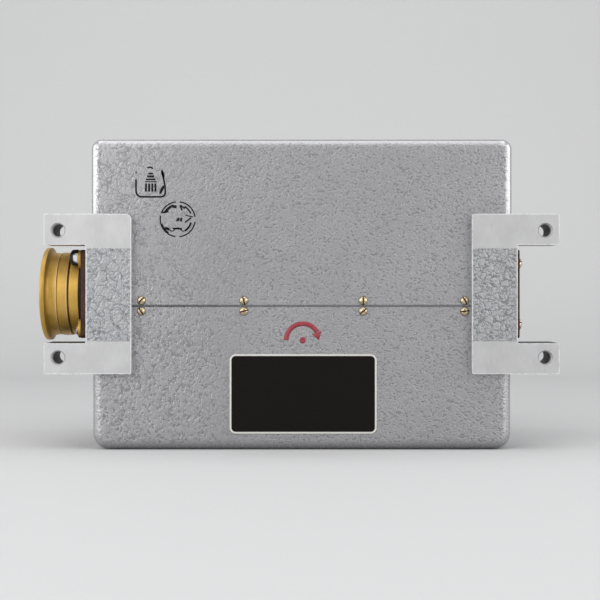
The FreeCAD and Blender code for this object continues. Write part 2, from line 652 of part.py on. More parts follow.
def make_flange_screws():
    seat = GASKET_T + FLANGE_T
    length = seat + FLANGE_SCREW_GRIP
    one = screw(FLANGE_SCREW_HEAD_D, FLANGE_SCREW_HEAD_H, FLANGE_SCREW_D, length,
                FLANGE_SCREW_TURN, True)
    half = FLANGE_SCREW_PITCH / 2
    screws = []
    cup_place = None
    for place in square_places(FLANGE_SCREW_PITCH, -BRACKET_FACE_X - seat, CONNECTOR_Y):
        front_upper = place.y < CONNECTOR_Y and place.z > 0
        if front_upper:
            cup_place = place
            place = place - AX * CUP_WALL
        screws.append(placed(one, facing(place, -AX)))
    save("connector_screws", screws)

    outer, inner = CUP_D / 2, CUP_D / 2 - CUP_WALL
    hole = FLANGE_SCREW_D / 2 + SCREW_CLEARANCE
    cup = turned([(hole, 0), (outer, 0), (outer, CUP_HEIGHT), (inner, CUP_HEIGHT), (inner, CUP_WALL),
                  (hole, CUP_WALL)])
    save("sealing_cup", placed(cup, facing(cup_place, -AX)))
    fill = CUP_WALL + FLANGE_SCREW_HEAD_H
    crown = CUP_HEIGHT + MASTIC_HEIGHT
    wide = MASTIC_D / 2
    mastic = turned([(0, fill), (inner - SEAT_CLEARANCE, fill), (inner - SEAT_CLEARANCE, CUP_HEIGHT),
                     (wide, CUP_HEIGHT), (wide, CUP_HEIGHT + MASTIC_HEIGHT / 2),
                     (wide * MASTIC_CROWN_SHARE, crown), (0, crown)])
    skirt = ring(MASTIC_D, CUP_D + 2 * SEAT_CLEARANCE, CUP_HEIGHT, 0)
    skirt = skirt.cut(rod(CUP_D * MASTIC_WINDOW_SHARE, Vector(), -AY, wide * 2))
    save("seal_mastic", placed(fused([mastic, skirt]), facing(cup_place, -AX)))


def make_end_plate():
    hole_d = FLANGE_SCREW_D + 2 * SCREW_CLEARANCE
    plate = square_plate(GASKET_SIDE, 0, END_PLATE_T)
    plate = plate.cut(Part.makeCompound(plate_holes(END_SCREW_PITCH, hole_d, END_PLATE_T)))
    save("end_plate", placed(plate, facing(Vector(BRACKET_FACE_X, CONNECTOR_Y, 0), AX)))
    one = screw(END_SCREW_HEAD_D, END_SCREW_HEAD_H, FLANGE_SCREW_D, END_PLATE_T + FLANGE_SCREW_GRIP,
                END_SCREW_TURN, True)
    places = square_places(END_SCREW_PITCH, BRACKET_FACE_X + END_PLATE_T, CONNECTOR_Y)
    save("end_plate_screws", [placed(one, facing(place, AX)) for place in places])


# Rate gyros

def gyro_stand():
    base_z = -AXIS_HEIGHT - BASE_T
    base = box(-BASE_W / 2, BASE_W / 2, BASE_FRONT, BASE_BACK, base_z, -AXIS_HEIGHT)
    parts = [base]
    for y0, thickness, width in ((POST_IN, POST_T, POST_W), (-POST_OUT, POST_T, POST_W),
                                 (-ANCHOR_OUT, ANCHOR_T, ANCHOR_W)):
        parts.append(box(-width / 2, width / 2, y0, y0 + thickness, -AXIS_HEIGHT, 0))
        parts.append(rod(width, Vector(0, y0, 0), AY, thickness))
    stop_height = AXIS_HEIGHT - ROCKER_H / 2 - STOP_GAP
    for side in (-1, 1):
        parts.append(rod(STOP_D, Vector(side * STOP_ARM, ROCKER_MID, -AXIS_HEIGHT), AZ, stop_height))
    holes = [rod(PIVOT_BEARING_D + 2 * SEAT_CLEARANCE, Vector(0, -POST_OUT - 1, 0), AY, 2 * POST_OUT + 2),
             rod(PIVOT_D + 2 * SEAT_CLEARANCE, Vector(0, -ANCHOR_OUT - 1, 0), AY, ANCHOR_T + 2)]
    for x in (-GYRO_SCREW_X, GYRO_SCREW_X):
        for y in (-GYRO_SCREW_Y, GYRO_SCREW_Y):
            holes.append(rod(GYRO_SCREW_D + 2 * SCREW_CLEARANCE, Vector(x, y, base_z - 1), AZ, BASE_T + 2))
    return fused(parts).cut(Part.makeCompound(holes))


def gyro_pivot_bearings():
    bore = PIVOT_D + 2 * RUNNING_CLEARANCE
    one = ring(PIVOT_BEARING_D, bore, POST_T, POST_IN)
    return [placed(one, Placement(Vector(), Rotation(AX, turn))) for turn in (-90, 90)]


def gyro_gimbal():
    # Ring in the plane of the spin axis Z and the pivot axis Y, with a stub shaft at each side
    inner_end = GIMBAL_END - GIMBAL_WALL
    inner_side = GIMBAL_SIDE - GIMBAL_SIDE_WALL
    half_h = GIMBAL_H / 2
    ring_body = box(-half_h, half_h, -GIMBAL_SIDE, GIMBAL_SIDE, -GIMBAL_END, GIMBAL_END)
    corners = [Vector(0, y, z) for y in (-GIMBAL_SIDE, GIMBAL_SIDE) for z in (-GIMBAL_END, GIMBAL_END)]
    ring_body = ring_body.makeFillet(GIMBAL_CORNER_R, corner_edges(ring_body, "X", GIMBAL_H, corners))
    ring_body = ring_body.cut(box(-GIMBAL_H, GIMBAL_H, -inner_side, inner_side, -inner_end, inner_end))
    stub_end = POST_OUT + ROCKER_GAP / 2
    front_stub = rod(PIVOT_D, Vector(0, -stub_end, 0), AY, stub_end - inner_side)
    back_stub = rod(PIVOT_D, Vector(0, inner_side, 0), AY, ROCKER_OUT - inner_side)
    body = fused([ring_body, front_stub, back_stub])
    axle = rod(AXLE_D + 2 * SEAT_CLEARANCE, Vector(0, 0, -GIMBAL_END - 1), AZ, 2 * GIMBAL_END + 2)
    bar_bore = rod(TORSION_BAR_D + 2 * SCREW_CLEARANCE, Vector(0, -POST_OUT - ROCKER_GAP, 0), AY,
                   TORSION_BAR_GRIP + TORSION_BORE_ROOM)
    return body.cut(axle).cut(bar_bore)


def gyro_rotor():
    radius, half = ROTOR_D / 2, ROTOR_W / 2
    seat = SPIN_BEARING_D / 2 + SEAT_CLEARANCE
    rim, web = radius - ROTOR_RIM_T, half - ROTOR_WEB_T
    return turned([(seat, -half), (radius - ROTOR_CHAMFER, -half), (radius, -half + ROTOR_CHAMFER),
                   (radius, half - ROTOR_CHAMFER), (radius - ROTOR_CHAMFER, half), (seat, half), (seat, web),
                   (rim, web), (rim, -web), (seat, -web)])


def gyro_spin_bearings():
    bore = AXLE_D + 2 * RUNNING_CLEARANCE
    return [ring(SPIN_BEARING_D, bore, ROTOR_WEB_T, ROTOR_W / 2 - ROTOR_WEB_T),
            ring(SPIN_BEARING_D, bore, ROTOR_WEB_T, -ROTOR_W / 2)]


def gyro_spin_axle():
    # Fixed shaft with the motor's stator in the middle
    shaft, collar = AXLE_D / 2, AXLE_COLLAR_D / 2
    stator = ROTOR_D / 2 - ROTOR_RIM_T - STATOR_GAP
    collar_end = ROTOR_W / 2 - ROTOR_WEB_T - AXLE_COLLAR_GAP
    half = STATOR_W / 2
    return turned([(0, -GIMBAL_END), (shaft, -GIMBAL_END), (shaft, -collar_end), (collar, -collar_end),
                   (collar, -half), (stator, -half), (stator, half), (collar, half), (collar, collar_end),
                   (shaft, collar_end), (shaft, GIMBAL_END), (0, GIMBAL_END)])


def gyro_rocker():
    # Double arm on the gimbal's stub: damper eye on one side, pick-off armature on the other
    half_h = ROCKER_H / 2
    arm_end = ARMATURE_ARM + PICKOFF_OVERHANG - PICKOFF_W - PICKOFF_ARM_GAP
    hub = rod(ROCKER_HUB_D, Vector(0, ROCKER_IN, 0), AY, ROCKER_T)
    arm = box(-arm_end, ROCKER_ARM + ROCKER_EYE, ROCKER_IN, ROCKER_OUT, -half_h, half_h)
    half_t = ARMATURE_T / 2
    blade = box(-ARMATURE_ARM, -arm_end + ARMATURE_ROOT, ROCKER_MID - half_t, ROCKER_MID + half_t,
                -ARMATURE_H / 2, ARMATURE_H / 2)
    body = fused([hub, arm, blade])
    pin_slot = DAMPER_PIN_D / 2 + SCREW_CLEARANCE
    half_w = DAMPER_SLOT_W / 2
    slot = box(ROCKER_ARM - half_w, ROCKER_ARM + half_w, ROCKER_IN - 1, ROCKER_OUT + 1, -pin_slot, pin_slot)
    bore = rod(PIVOT_D + 2 * SEAT_CLEARANCE, Vector(0, ROCKER_IN - 1, 0), AY, ROCKER_T + 2)
    return body.cut(slot).cut(bore)


def gyro_torsion_bar():
    tip = -POST_OUT - ROCKER_GAP / 2 + TORSION_BAR_GRIP - TORSION_BORE_ROOM
    hub = rod(PIVOT_D, Vector(0, -ANCHOR_OUT, 0), AY, ANCHOR_T)
    return fused([hub, rod(TORSION_BAR_D, Vector(0, -ANCHOR_OUT, 0), AY, tip + ANCHOR_OUT)])


def gyro_damper_cylinder():
    foot = Vector(ROCKER_ARM, DAMPER_MID, -AXIS_HEIGHT)
    height = AXIS_HEIGHT - DAMPER_TOP_DROP
    body = rod(DAMPER_D, foot, AZ, height)
    return body.cut(rod(DAMPER_BORE_D, foot + AZ * DAMPER_FLOOR_T, AZ, height))


def gyro_damper_piston():
    foot = Vector(ROCKER_ARM, DAMPER_MID, -DAMPER_PISTON_DROP - DAMPER_PISTON_T)
    piston = rod(DAMPER_BORE_D - 2 * SCREW_CLEARANCE, foot, AZ, DAMPER_PISTON_T)
    shaft = rod(DAMPER_ROD_D, foot, AZ, -foot.z + DAMPER_ROD_D / 2)
    pin = rod(DAMPER_PIN_D, Vector(ROCKER_ARM, DAMPER_MID, 0), -AY, DAMPER_MID - ROCKER_IN - DAMPER_PIN_SHORT)
    return fused([piston, shaft, pin])


def gyro_pickoff():
    # U-shaped core that the armature swings in, with its coil round the foot
    outer_x = -ARMATURE_ARM - PICKOFF_OVERHANG
    inner_x = outer_x + PICKOFF_W
    half_gap = ARMATURE_T / 2 + PICKOFF_GAP
    half_y = half_gap + PICKOFF_LIMB_T
    core = box(outer_x, inner_x, ROCKER_MID - half_y, ROCKER_MID + half_y, -AXIS_HEIGHT, ARMATURE_H / 2)
    throat = box(outer_x - 1, inner_x + 1, ROCKER_MID - half_gap, ROCKER_MID + half_gap,
                 -PICKOFF_THROAT, ARMATURE_H)
    wound = box(outer_x - PICKOFF_COIL_T, inner_x + PICKOFF_COIL_T, ROCKER_MID - half_y - PICKOFF_COIL_T,
                ROCKER_MID + half_y + PICKOFF_COIL_T, BASE_T - AXIS_HEIGHT, -PICKOFF_THROAT - BASE_T)
    return [core.cut(throat), wound.cut(core)]


def make_gyros():
    pieces = {
        "stand": [gyro_stand()],
        "pivot_bearings": gyro_pivot_bearings(),
        "rocker": [gyro_rocker()],
        "torsion_bar": [gyro_torsion_bar()],
        "damper_cylinder": [gyro_damper_cylinder()],
        "damper_piston": [gyro_damper_piston()],
        "pickoff": gyro_pickoff(),
    }
    spinning = {
        "gimbal": [gyro_gimbal()],
        "rotor": [gyro_rotor()],
        "spin_bearings": gyro_spin_bearings(),
        "spin_axle": [gyro_spin_axle()],
    }
    for name, place, upright in gyro_modules():
        for piece, solids in pieces.items():
            save(name + "_" + piece, [placed(solid, place) for solid in solids])
        tilt = Placement(Vector(), Rotation(AY, 0 if upright else 90))
        for piece, solids in spinning.items():
            save(name + "_" + piece, [placed(placed(solid, tilt), place) for solid in solids])
    one = screw(GYRO_SCREW_HEAD_D, GYRO_SCREW_HEAD_H, GYRO_SCREW_D, BASE_T + CHASSIS_PLATE_T,
                GYRO_SCREW_TURN, False)
    save("gyro_stand_screws", [placed(one, facing(place, AZ)) for place in gyro_screw_places()])


# Electrical parts under the deck

def hung_box(x, y, width, depth, height):
    return box(x - width / 2, x + width / 2, y - depth / 2, y + depth / 2,
               DECK_UNDER_Z - height, DECK_UNDER_Z)


def make_electrical():
    core = hung_box(TRANSFORMER_X, CASE_MID_Y, TRANSFORMER_W, TRANSFORMER_STACK, TRANSFORMER_H)
    spread = TRANSFORMER_COIL_SPREAD
    coil = box(TRANSFORMER_X - TRANSFORMER_W / 2 + spread, TRANSFORMER_X + TRANSFORMER_W / 2 - spread,
               CASE_MID_Y - TRANSFORMER_D / 2, CASE_MID_Y + TRANSFORMER_D / 2,
               DECK_UNDER_Z - TRANSFORMER_H + spread, DECK_UNDER_Z - spread)
    save("transformer", fused([core, coil]))
    pitch = RELAY_W + RELAY_GAP
    relays = [hung_box(RELAY_X + i * pitch / 2, CASE_MID_Y + j * pitch / 2, RELAY_W, RELAY_W, RELAY_H)
              for i in (-1, 1) for j in (-1, 1)]
    save("relays", [relay.makeFillet(RELAY_CORNER_R, relay.Edges[0:4]) for relay in relays])
    cans = [rod(CAPACITOR_D, Vector(0, CASE_MID_Y + i * CAPACITOR_PITCH, DECK_UNDER_Z), -AZ, CAPACITOR_H)
            for i in (-1, 0, 1)]
    save("capacitors", cans)
    board_y = CHASSIS_BACK_Y - CHASSIS_RIM_T - BOARD_T - BOARD_RIM_GAP
    board = box(-BOARD_W / 2, BOARD_W / 2, board_y, board_y + BOARD_T,
                DECK_UNDER_Z - BOARD_STANDOFF - BOARD_H, DECK_UNDER_Z - BOARD_STANDOFF)
    half_lug, lug_x = BOARD_LUG_W / 2, BOARD_W / 2 - BOARD_LUG_INSET
    lugs = [box(x - half_lug, x + half_lug, board_y - BOARD_T, board_y,
                DECK_UNDER_Z - BOARD_STANDOFF * 2, DECK_UNDER_Z)
            for x in (-lug_x, lug_x)]
    pins = []
    for level in (0.25, 0.75):
        for index in range(BOARD_PIN_COUNT):
            x = BOARD_W * ((index + 0.5) / BOARD_PIN_COUNT - 0.5)
            foot = Vector(x, board_y + BOARD_T / 2, DECK_UNDER_Z - BOARD_STANDOFF - BOARD_H * level)
            pins.append(rod(BOARD_PIN_D, foot, -AY, BOARD_PIN_LENGTH))
    save("terminal_board", fused([board] + lugs + pins))


os.makedirs("parts", exist_ok=True)
make_brackets()
make_covers()
make_chassis()
make_connector()
make_cap()
make_flange_screws()
make_end_plate()
make_gyros()
make_electrical()
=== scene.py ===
import math

import bmesh
import bpy
import numpy as np
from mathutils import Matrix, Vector


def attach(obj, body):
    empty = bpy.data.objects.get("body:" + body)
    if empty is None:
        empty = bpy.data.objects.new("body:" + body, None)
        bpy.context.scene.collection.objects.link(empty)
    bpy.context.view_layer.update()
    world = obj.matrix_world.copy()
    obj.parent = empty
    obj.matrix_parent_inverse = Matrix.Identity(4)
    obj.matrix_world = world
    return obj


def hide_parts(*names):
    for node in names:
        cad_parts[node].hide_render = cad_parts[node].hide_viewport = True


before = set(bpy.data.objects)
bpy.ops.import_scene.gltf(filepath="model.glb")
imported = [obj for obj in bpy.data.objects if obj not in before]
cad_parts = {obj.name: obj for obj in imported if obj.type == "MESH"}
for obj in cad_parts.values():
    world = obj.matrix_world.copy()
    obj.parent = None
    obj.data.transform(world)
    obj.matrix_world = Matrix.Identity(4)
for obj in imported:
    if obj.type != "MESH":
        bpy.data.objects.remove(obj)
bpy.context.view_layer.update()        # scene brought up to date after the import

# Damping gyro unit. Everything is in metres; the dictionaries below are in millimetres.
mm = 0.001


# Mesh helpers

def gridFaces(rows, columns, closedRows=False, closedColumns=False):
    # Quads between neighbours of a rows x columns grid of points, numbered row by row
    r = np.arange(rows if closedRows else rows - 1)[:, None]
    c = np.arange(columns if closedColumns else columns - 1)[None, :]
    r2, c2 = (r + 1) % rows, (c + 1) % columns
    return np.stack([r * columns + c, r * columns + c2, r2 * columns + c2, r2 * columns + c],
                    axis=-1).reshape(-1, 4)


def joined(parts):
    # One vertex and face array out of several, each part's faces moved on by the vertices before it
    starts = np.cumsum([0] + [len(verts) for verts, _ in parts[:-1]])
    return (np.concatenate([verts for verts, _ in parts]),
            np.concatenate([faces + start for (_, faces), start in zip(parts, starts)]))


def rounded(corners, radii, steps=4):
    # Each corner of a closed outline gives way to a quadratic curve between two points set back from it
    p = np.asarray(corners, float)
    back, ahead = np.roll(p, 1, axis=0) - p, np.roll(p, -1, axis=0) - p
    lengths = [np.maximum(np.linalg.norm(side, axis=1), 1e-9) for side in (back, ahead)]
    radii = np.broadcast_to(np.asarray(radii, float), len(p))
    cut = np.minimum(radii, 0.45 * np.minimum(*lengths))[:, None]
    start = p + back / lengths[0][:, None] * cut
    end = p + ahead / lengths[1][:, None] * cut
    t = np.linspace(0, 1, steps + 1)[None, :, None]
    curve = (1 - t) ** 2 * start[:, None] + 2 * t * (1 - t) * p[:, None] + t ** 2 * end[:, None]
    return curve.reshape(-1, p.shape[1])


def turned(outline, segments, ripple=None):
    # Closed outline of (radius, height) carried round the axis: (radius cos a, radius sin a, height)
    angle = np.linspace(0, 2 * math.pi, segments, endpoint=False)
    radius, height = outline[:, 0][:, None], outline[:, 1][:, None]
    if ripple is not None:
        radius, height = ripple(radius, height, angle[None, :])
    verts = np.stack([radius * np.cos(angle), radius * np.sin(angle),
                      height * np.ones_like(angle)], axis=-1)
    return verts.reshape(-1, 3), gridFaces(len(outline), segments, True, True)


def luggedPlate(spec, hole, edge):
    # A disc with four rounded lugs on the diagonals. At an angle p from a lug's axis the lug ends at
    # lugR / |sin p| along its straight side, or at reach cos p + sqrt(lugR^2 - reach^2 sin^2 p) on its
    # round end. Each ray from the hole's circle carries a section with softened corners.
    angle = np.linspace(0, 2 * math.pi, 384, endpoint=False)
    p = (angle % (math.pi / 2)) - math.pi / 4
    lug, reach = spec["lugR"], spec["lugReach"]
    side = lug / np.maximum(np.abs(np.sin(p)), 1e-6)
    inner = lug ** 2 - reach ** 2 * np.sin(p) ** 2
    tip = reach * np.cos(p) + np.sqrt(np.maximum(inner, 0))
    far = np.where(side * np.cos(p) <= reach, side, tip)
    outer = np.maximum(spec["discR"], far)
    section = np.array([(0, 0), (1, 0), (1, 1), (0, 1)], float)
    size = [spec["discR"] - hole, spec["thickness"]]
    share = rounded(section * size, edge, 3) / size
    radius = hole + share[:, :1] * (outer[None, :] - hole)
    height = np.broadcast_to(spec["base"] + share[:, 1:] * spec["thickness"], radius.shape)
    verts = np.stack([radius * np.cos(angle), radius * np.sin(angle), height], axis=-1)
    return verts.reshape(-1, 3), gridFaces(len(share), len(angle), True, True)


def linked(name, data):
    thing = bpy.data.objects.new(name, data)
    bpy.context.scene.collection.objects.link(thing)
    return thing


def carried(verts, position, direction):
    # Local X, Y and Z go to the axes that the CAD pieces on that side use
    axes = {"-x": [(0, 0, 1), (0, 1, 0), (-1, 0, 0)], "+x": [(0, 0, -1), (0, 1, 0), (1, 0, 0)],
            "-y": [(1, 0, 0), (0, 0, 1), (0, -1, 0)], "+y": [(1, 0, 0), (0, 0, -1), (0, 1, 0)]}
    return verts @ np.array(axes[direction], float) + np.array(position, float)


def quadMesh(name, verts, faces):
    # Quads in millimetres to a metre mesh
    mesh = bpy.data.meshes.new(name)
    mesh.vertices.add(len(verts))
    mesh.vertices.foreach_set("co", (np.asarray(verts, float) * mm).ravel())
    mesh.loops.add(len(faces) * 4)
    mesh.loops.foreach_set("vertex_index", np.asarray(faces, np.int32).ravel())
    mesh.polygons.add(len(faces))
    mesh.polygons.foreach_set("loop_start", np.arange(len(faces), dtype=np.int32) * 4)
    mesh.update(calc_edges=True)
    return mesh


def softened(mesh, smoothAngle):
    # Soft shading, with sharp edges where the faces turn by more than the angle
    mesh.polygons.foreach_set("use_smooth", np.ones(len(mesh.polygons), bool))
    mesh.set_sharp_from_angle(angle=math.radians(smoothAngle))
    return mesh


def solidMesh(name, verts, faces, smoothAngle=40, shadeAndSheen=None):
    # A closed mesh: doubles merged and faces outwards. The last argument is a value per vertex: 1 for painted
    # shade in a slot, round a rim or in a hollow, -1 for a painted highlight along an edge.
    mesh = quadMesh(name, verts, faces)
    if shadeAndSheen is not None:
        mesh.attributes.new("shadeAndSheen", "FLOAT", "POINT").data.foreach_set("value", np.asarray(shadeAndSheen, np.float32))
    work = bmesh.new()
    work.from_mesh(mesh)
    bmesh.ops.remove_doubles(work, verts=work.verts, dist=2e-6)
    bmesh.ops.recalc_face_normals(work, faces=work.faces)
    work.to_mesh(mesh)
    work.free()
    return softened(mesh, smoothAngle)


def cadCopy(name, node):
    # A node's loose triangles, merged and with their flat faces joined, as a new mesh
    work = bmesh.new()
    work.from_mesh(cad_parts[node].data)
    for layer in list(work.loops.layers.float_vector.values()):
        work.loops.layers.float_vector.remove(layer)
    bmesh.ops.remove_doubles(work, verts=work.verts, dist=1e-6)
    bmesh.ops.dissolve_limit(work, angle_limit=math.radians(0.5), verts=work.verts, edges=work.edges)
    mesh = bpy.data.meshes.new(name)
    work.to_mesh(mesh)
    work.free()
    if "custom_normal" in mesh.attributes:
        mesh.attributes.remove(mesh.attributes["custom_normal"])
    mesh.materials.clear()
    mesh.polygons.foreach_set("material_index", np.zeros(len(mesh.polygons), np.int32))
    return softened(mesh, 30)


def placePiece(name, mesh, material, body="unit", stands=(), bevel=0.0, steps=2):
    # The mesh as a piece that rides on a body and stands for the CAD nodes given
    piece = linked(name, mesh)
    mesh.materials.append(material)
    if bevel:
        edge = piece.modifiers.new("softEdges", "BEVEL")
        edge.width, edge.segments = bevel * mm, steps
        edge.limit_method, edge.angle_limit = "ANGLE", math.radians(40)
        edge.harden_normals = True
        edge.use_clamp_overlap = True
    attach(piece, body)
    for node in stands:
        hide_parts(node)
    return piece


# Shader helpers. A tree is a material's or a group's, a value is a socket or a plain number.

def fill(tree, node, inputs):
    for key, value in inputs.items():
        if isinstance(value, bpy.types.NodeSocket):
            tree.links.new(value, node.inputs[key])
        else:
            node.inputs[key].default_value = value
    return node


def put(tree, kind, inputs=None, **settings):
    node = tree.nodes.new(kind)
    for key, value in settings.items():
        setattr(node, key, value)
    return fill(tree, node, inputs or {})


def calc(tree, operation, first, second=0.0, clamp=False):
    return put(tree, "ShaderNodeMath", {0: first, 1: second}, operation=operation, use_clamp=clamp).outputs[0]


def plus(tree, first, second):
    return calc(tree, "ADD", first, second)


def minus(tree, first, second):
    return calc(tree, "SUBTRACT", first, second)


def inverse(tree, value):
    return minus(tree, 1.0, value)


def times(tree, first, *others):
    for other in others:
        first = calc(tree, "MULTIPLY", first, other)
    return first


def apart(tree, value, middle=0.0):
    # How far a value is from the middle, either way
    return calc(tree, "ABSOLUTE", minus(tree, value, middle) if middle else value)


def rise(tree, value, low, high):
    # Smooth step from 0 at low to 1 at high
    return put(tree, "ShaderNodeMapRange", {"Value": value, "From Min": low, "From Max": high},
               interpolation_type="SMOOTHSTEP").outputs[0]


def riseMm(tree, value, limits):
    # The same between two places in millimetres
    return rise(tree, value, limits[0] * mm, limits[1] * mm)


def blend(tree, factor, first, second):
    return put(tree, "ShaderNodeMix", {0: factor, 2: first, 3: second}, data_type="FLOAT").outputs[0]


def tint(tree, factor, first, second):
    # Two colours mixed by a factor. A plain colour gets its alpha here.
    first, second = (c if isinstance(c, bpy.types.NodeSocket) else (*c, 1) for c in (first, second))
    return put(tree, "ShaderNodeMix", {0: factor, 6: first, 7: second}, data_type="RGBA").outputs[2]


def noise(tree, place, scale, detail=2.0, roughness=0.5, output="Fac"):
    return put(tree, "ShaderNodeTexNoise", {"Vector": place, "Scale": scale, "Detail": detail,
                                            "Roughness": roughness}).outputs[output]


def vectorCalc(tree, operation, first, second, output=0):
    return put(tree, "ShaderNodeVectorMath", {0: first, 1: second}, operation=operation).outputs[output]


def newGroup(name, inputs, outputs):
    # Inputs are (label, starting value), with None or three numbers for a vector. Outputs are numbers.
    group = bpy.data.node_groups.new(name, "ShaderNodeTree")
    for label, value in inputs:
        kind = "NodeSocketFloat" if isinstance(value, float) else "NodeSocketVector"
        socket = group.interface.new_socket(name=label, in_out="INPUT", socket_type=kind)
        if value is not None:
            socket.default_value = value
    for label in outputs:
        group.interface.new_socket(name=label, in_out="OUTPUT", socket_type="NodeSocketFloat")
    return group, put(group, "NodeGroupInput").outputs, put(group, "NodeGroupOutput")


def useGroup(tree, group, inputs):
    return put(tree, "ShaderNodeGroup", inputs, node_tree=group).outputs


def buildHammerRelief():
    # Hammer finish: puffed cells with valleys between them, broken curved strokes, and comma-shaped pits
    group, given, result = newGroup(
        "hammerRelief",
        [("Vector", None), ("Cells", 330.0), ("Valley", 0.12), ("Broken", 0.5), ("Puff", 1.0), ("Valleys", 1.0),
         ("Strokes", 1.0), ("Pitting", 600.0), ("Pits", 1.0), ("Swell", 1.0), ("Stretch", (1.0, 1.0, 1.0)),
         ("Turn", (0.0, 0.0, 0.0))],
        ["Height", "HollowShade"])
    place, cells = given["Vector"], given["Cells"]
    # Cell walls wander by up to 1.5 / cells
    drift = noise(group, place, times(group, cells, 1.1), output="Color")
    centred = vectorCalc(group, "SUBTRACT", drift, (0.5, 0.5, 0.5))
    pushed = put(group, "ShaderNodeVectorMath", {0: centred, "Scale": calc(group, "DIVIDE", 1.5, cells)},
                 operation="SCALE").outputs[0]
    rim = put(group, "ShaderNodeTexVoronoi", {"Vector": vectorCalc(group, "ADD", place, pushed), "Scale": cells},
              feature="DISTANCE_TO_EDGE").outputs["Distance"]
    mottle = noise(group, place, times(group, cells, 0.55), 1.0)
    low = times(group, given["Broken"], 0.56)
    whole = rise(group, mottle, minus(group, low, 0.08), plus(group, low, 0.08))
    valley = times(group, inverse(group, rise(group, rim, 0.0, given["Valley"])), whole, given["Valleys"])
    puff = times(group, rise(group, rim, 0.0, 0.36), whole, given["Puff"])

    # Strokes lie where a stretched noise crosses its middle, pits where it is low
    leaning = put(group, "ShaderNodeMapping", {"Vector": place, "Rotation": given["Turn"],
                                               "Scale": given["Stretch"]}).outputs[0]
    wave = noise(group, leaning, times(group, given["Pitting"], 0.6), 1.0)
    line = inverse(group, rise(group, apart(group, wave, 0.5), 0.0, 0.05))
    patchy = rise(group, noise(group, place, times(group, given["Pitting"], 0.7), 1.0), 0.4, 0.54)
    stroke = times(group, line, patchy, given["Strokes"])
    dent = noise(group, leaning, given["Pitting"], 1.0, 0.6)
    pit = times(group, inverse(group, rise(group, dent, 0.33, 0.45)), given["Pits"])
    swell = times(group, rise(group, dent, 0.3, 0.7), given["Swell"])

    height = plus(group, times(group, puff, 0.5), times(group, swell, 0.6))
    for cut, depth in ((valley, 0.35), (stroke, 0.3), (pit, 0.4)):
        height = minus(group, height, times(group, cut, depth))
    # Painted shade: the valleys, strokes and pits are also darkened in colour, as shade in the relief's hollows
    dark = calc(group, "MAXIMUM", calc(group, "MAXIMUM", valley, stroke), pit)
    fill(group, result, {"Height": height, "HollowShade": calc(group, "MINIMUM", dark, 1.0)})
    return group


def buildSurfaceGrain():
    # Drawn or machined grain: fine stretched lines, with a slow change of tone under them
    group, given, result = newGroup(
        "surfaceGrain", [("Vector", None), ("Stretch", (1.0, 1.0, 0.05)), ("Lines", 3000.0), ("Clouds", 60.0)],
        ["Height", "Tone"])
    drawn = vectorCalc(group, "MULTIPLY", given["Vector"], given["Stretch"])
    lines = noise(group, drawn, given["Lines"], 3.0, 0.6)
    clouds = noise(group, given["Vector"], given["Clouds"], 3.0, 0.55)
    fill(group, result, {"Height": lines, "Tone": plus(group, times(group, lines, 0.45),
                                                       times(group, clouds, 0.55))})
    return group


def buildEdgeWear():
    # Bare edges: where a normal taken over a small radius leaves the surface's own, broken up by noise
    group, given, result = newGroup(
        "edgeWear", [("Vector", None), ("Radius", 0.0004), ("Breaks", 900.0)], ["Mask"])
    wide = put(group, "ShaderNodeBevel", {"Radius": given["Radius"]}, samples=4).outputs[0]
    own = put(group, "ShaderNodeNewGeometry").outputs["Normal"]
    edge = rise(group, inverse(group, vectorCalc(group, "DOT_PRODUCT", wide, own, "Value")), 0.01, 0.12)
    patches = rise(group, noise(group, given["Vector"], given["Breaks"], 3.0), 0.3, 0.55)
    fill(group, result, {"Mask": times(group, edge, patches)})
    return group


def buildDustFilm():
    # Pale dust that gathers on faces that look up
    group, given, result = newGroup("dustFilm", [("Vector", None), ("Amount", 0.3)], ["Mask"])
    own = put(group, "ShaderNodeNewGeometry").outputs["Normal"]
    up = put(group, "ShaderNodeSeparateXYZ", {0: own}).outputs[2]
    patches = rise(group, noise(group, given["Vector"], 260.0, 5.0, 0.65), 0.35, 0.7)
    fill(group, result, {"Mask": times(group, rise(group, up, 0.3, 1.0), patches, given["Amount"])})
    return group


hammerRelief = buildHammerRelief()
surfaceGrain = buildSurfaceGrain()
edgeWear = buildEdgeWear()
dustFilm = buildDustFilm()
print("stage: shared shader groups ready")


def newMaterial(name, settings):
    # A Principled material with its plain values on the shader's own sockets
    material = bpy.data.materials.new(name)
    material.use_nodes = True
    tree = material.node_tree
    tree.nodes.clear()
    shader = put(tree, "ShaderNodeBsdfPrincipled", settings)
    put(tree, "ShaderNodeOutputMaterial", {"Surface": shader.outputs[0]})
    place = put(tree, "ShaderNodeTexCoord").outputs["Object"]
    return material, tree, shader, place


def bump(tree, height, depth):
    return put(tree, "ShaderNodeBump", {"Height": height, "Distance": depth * mm}).outputs[0]


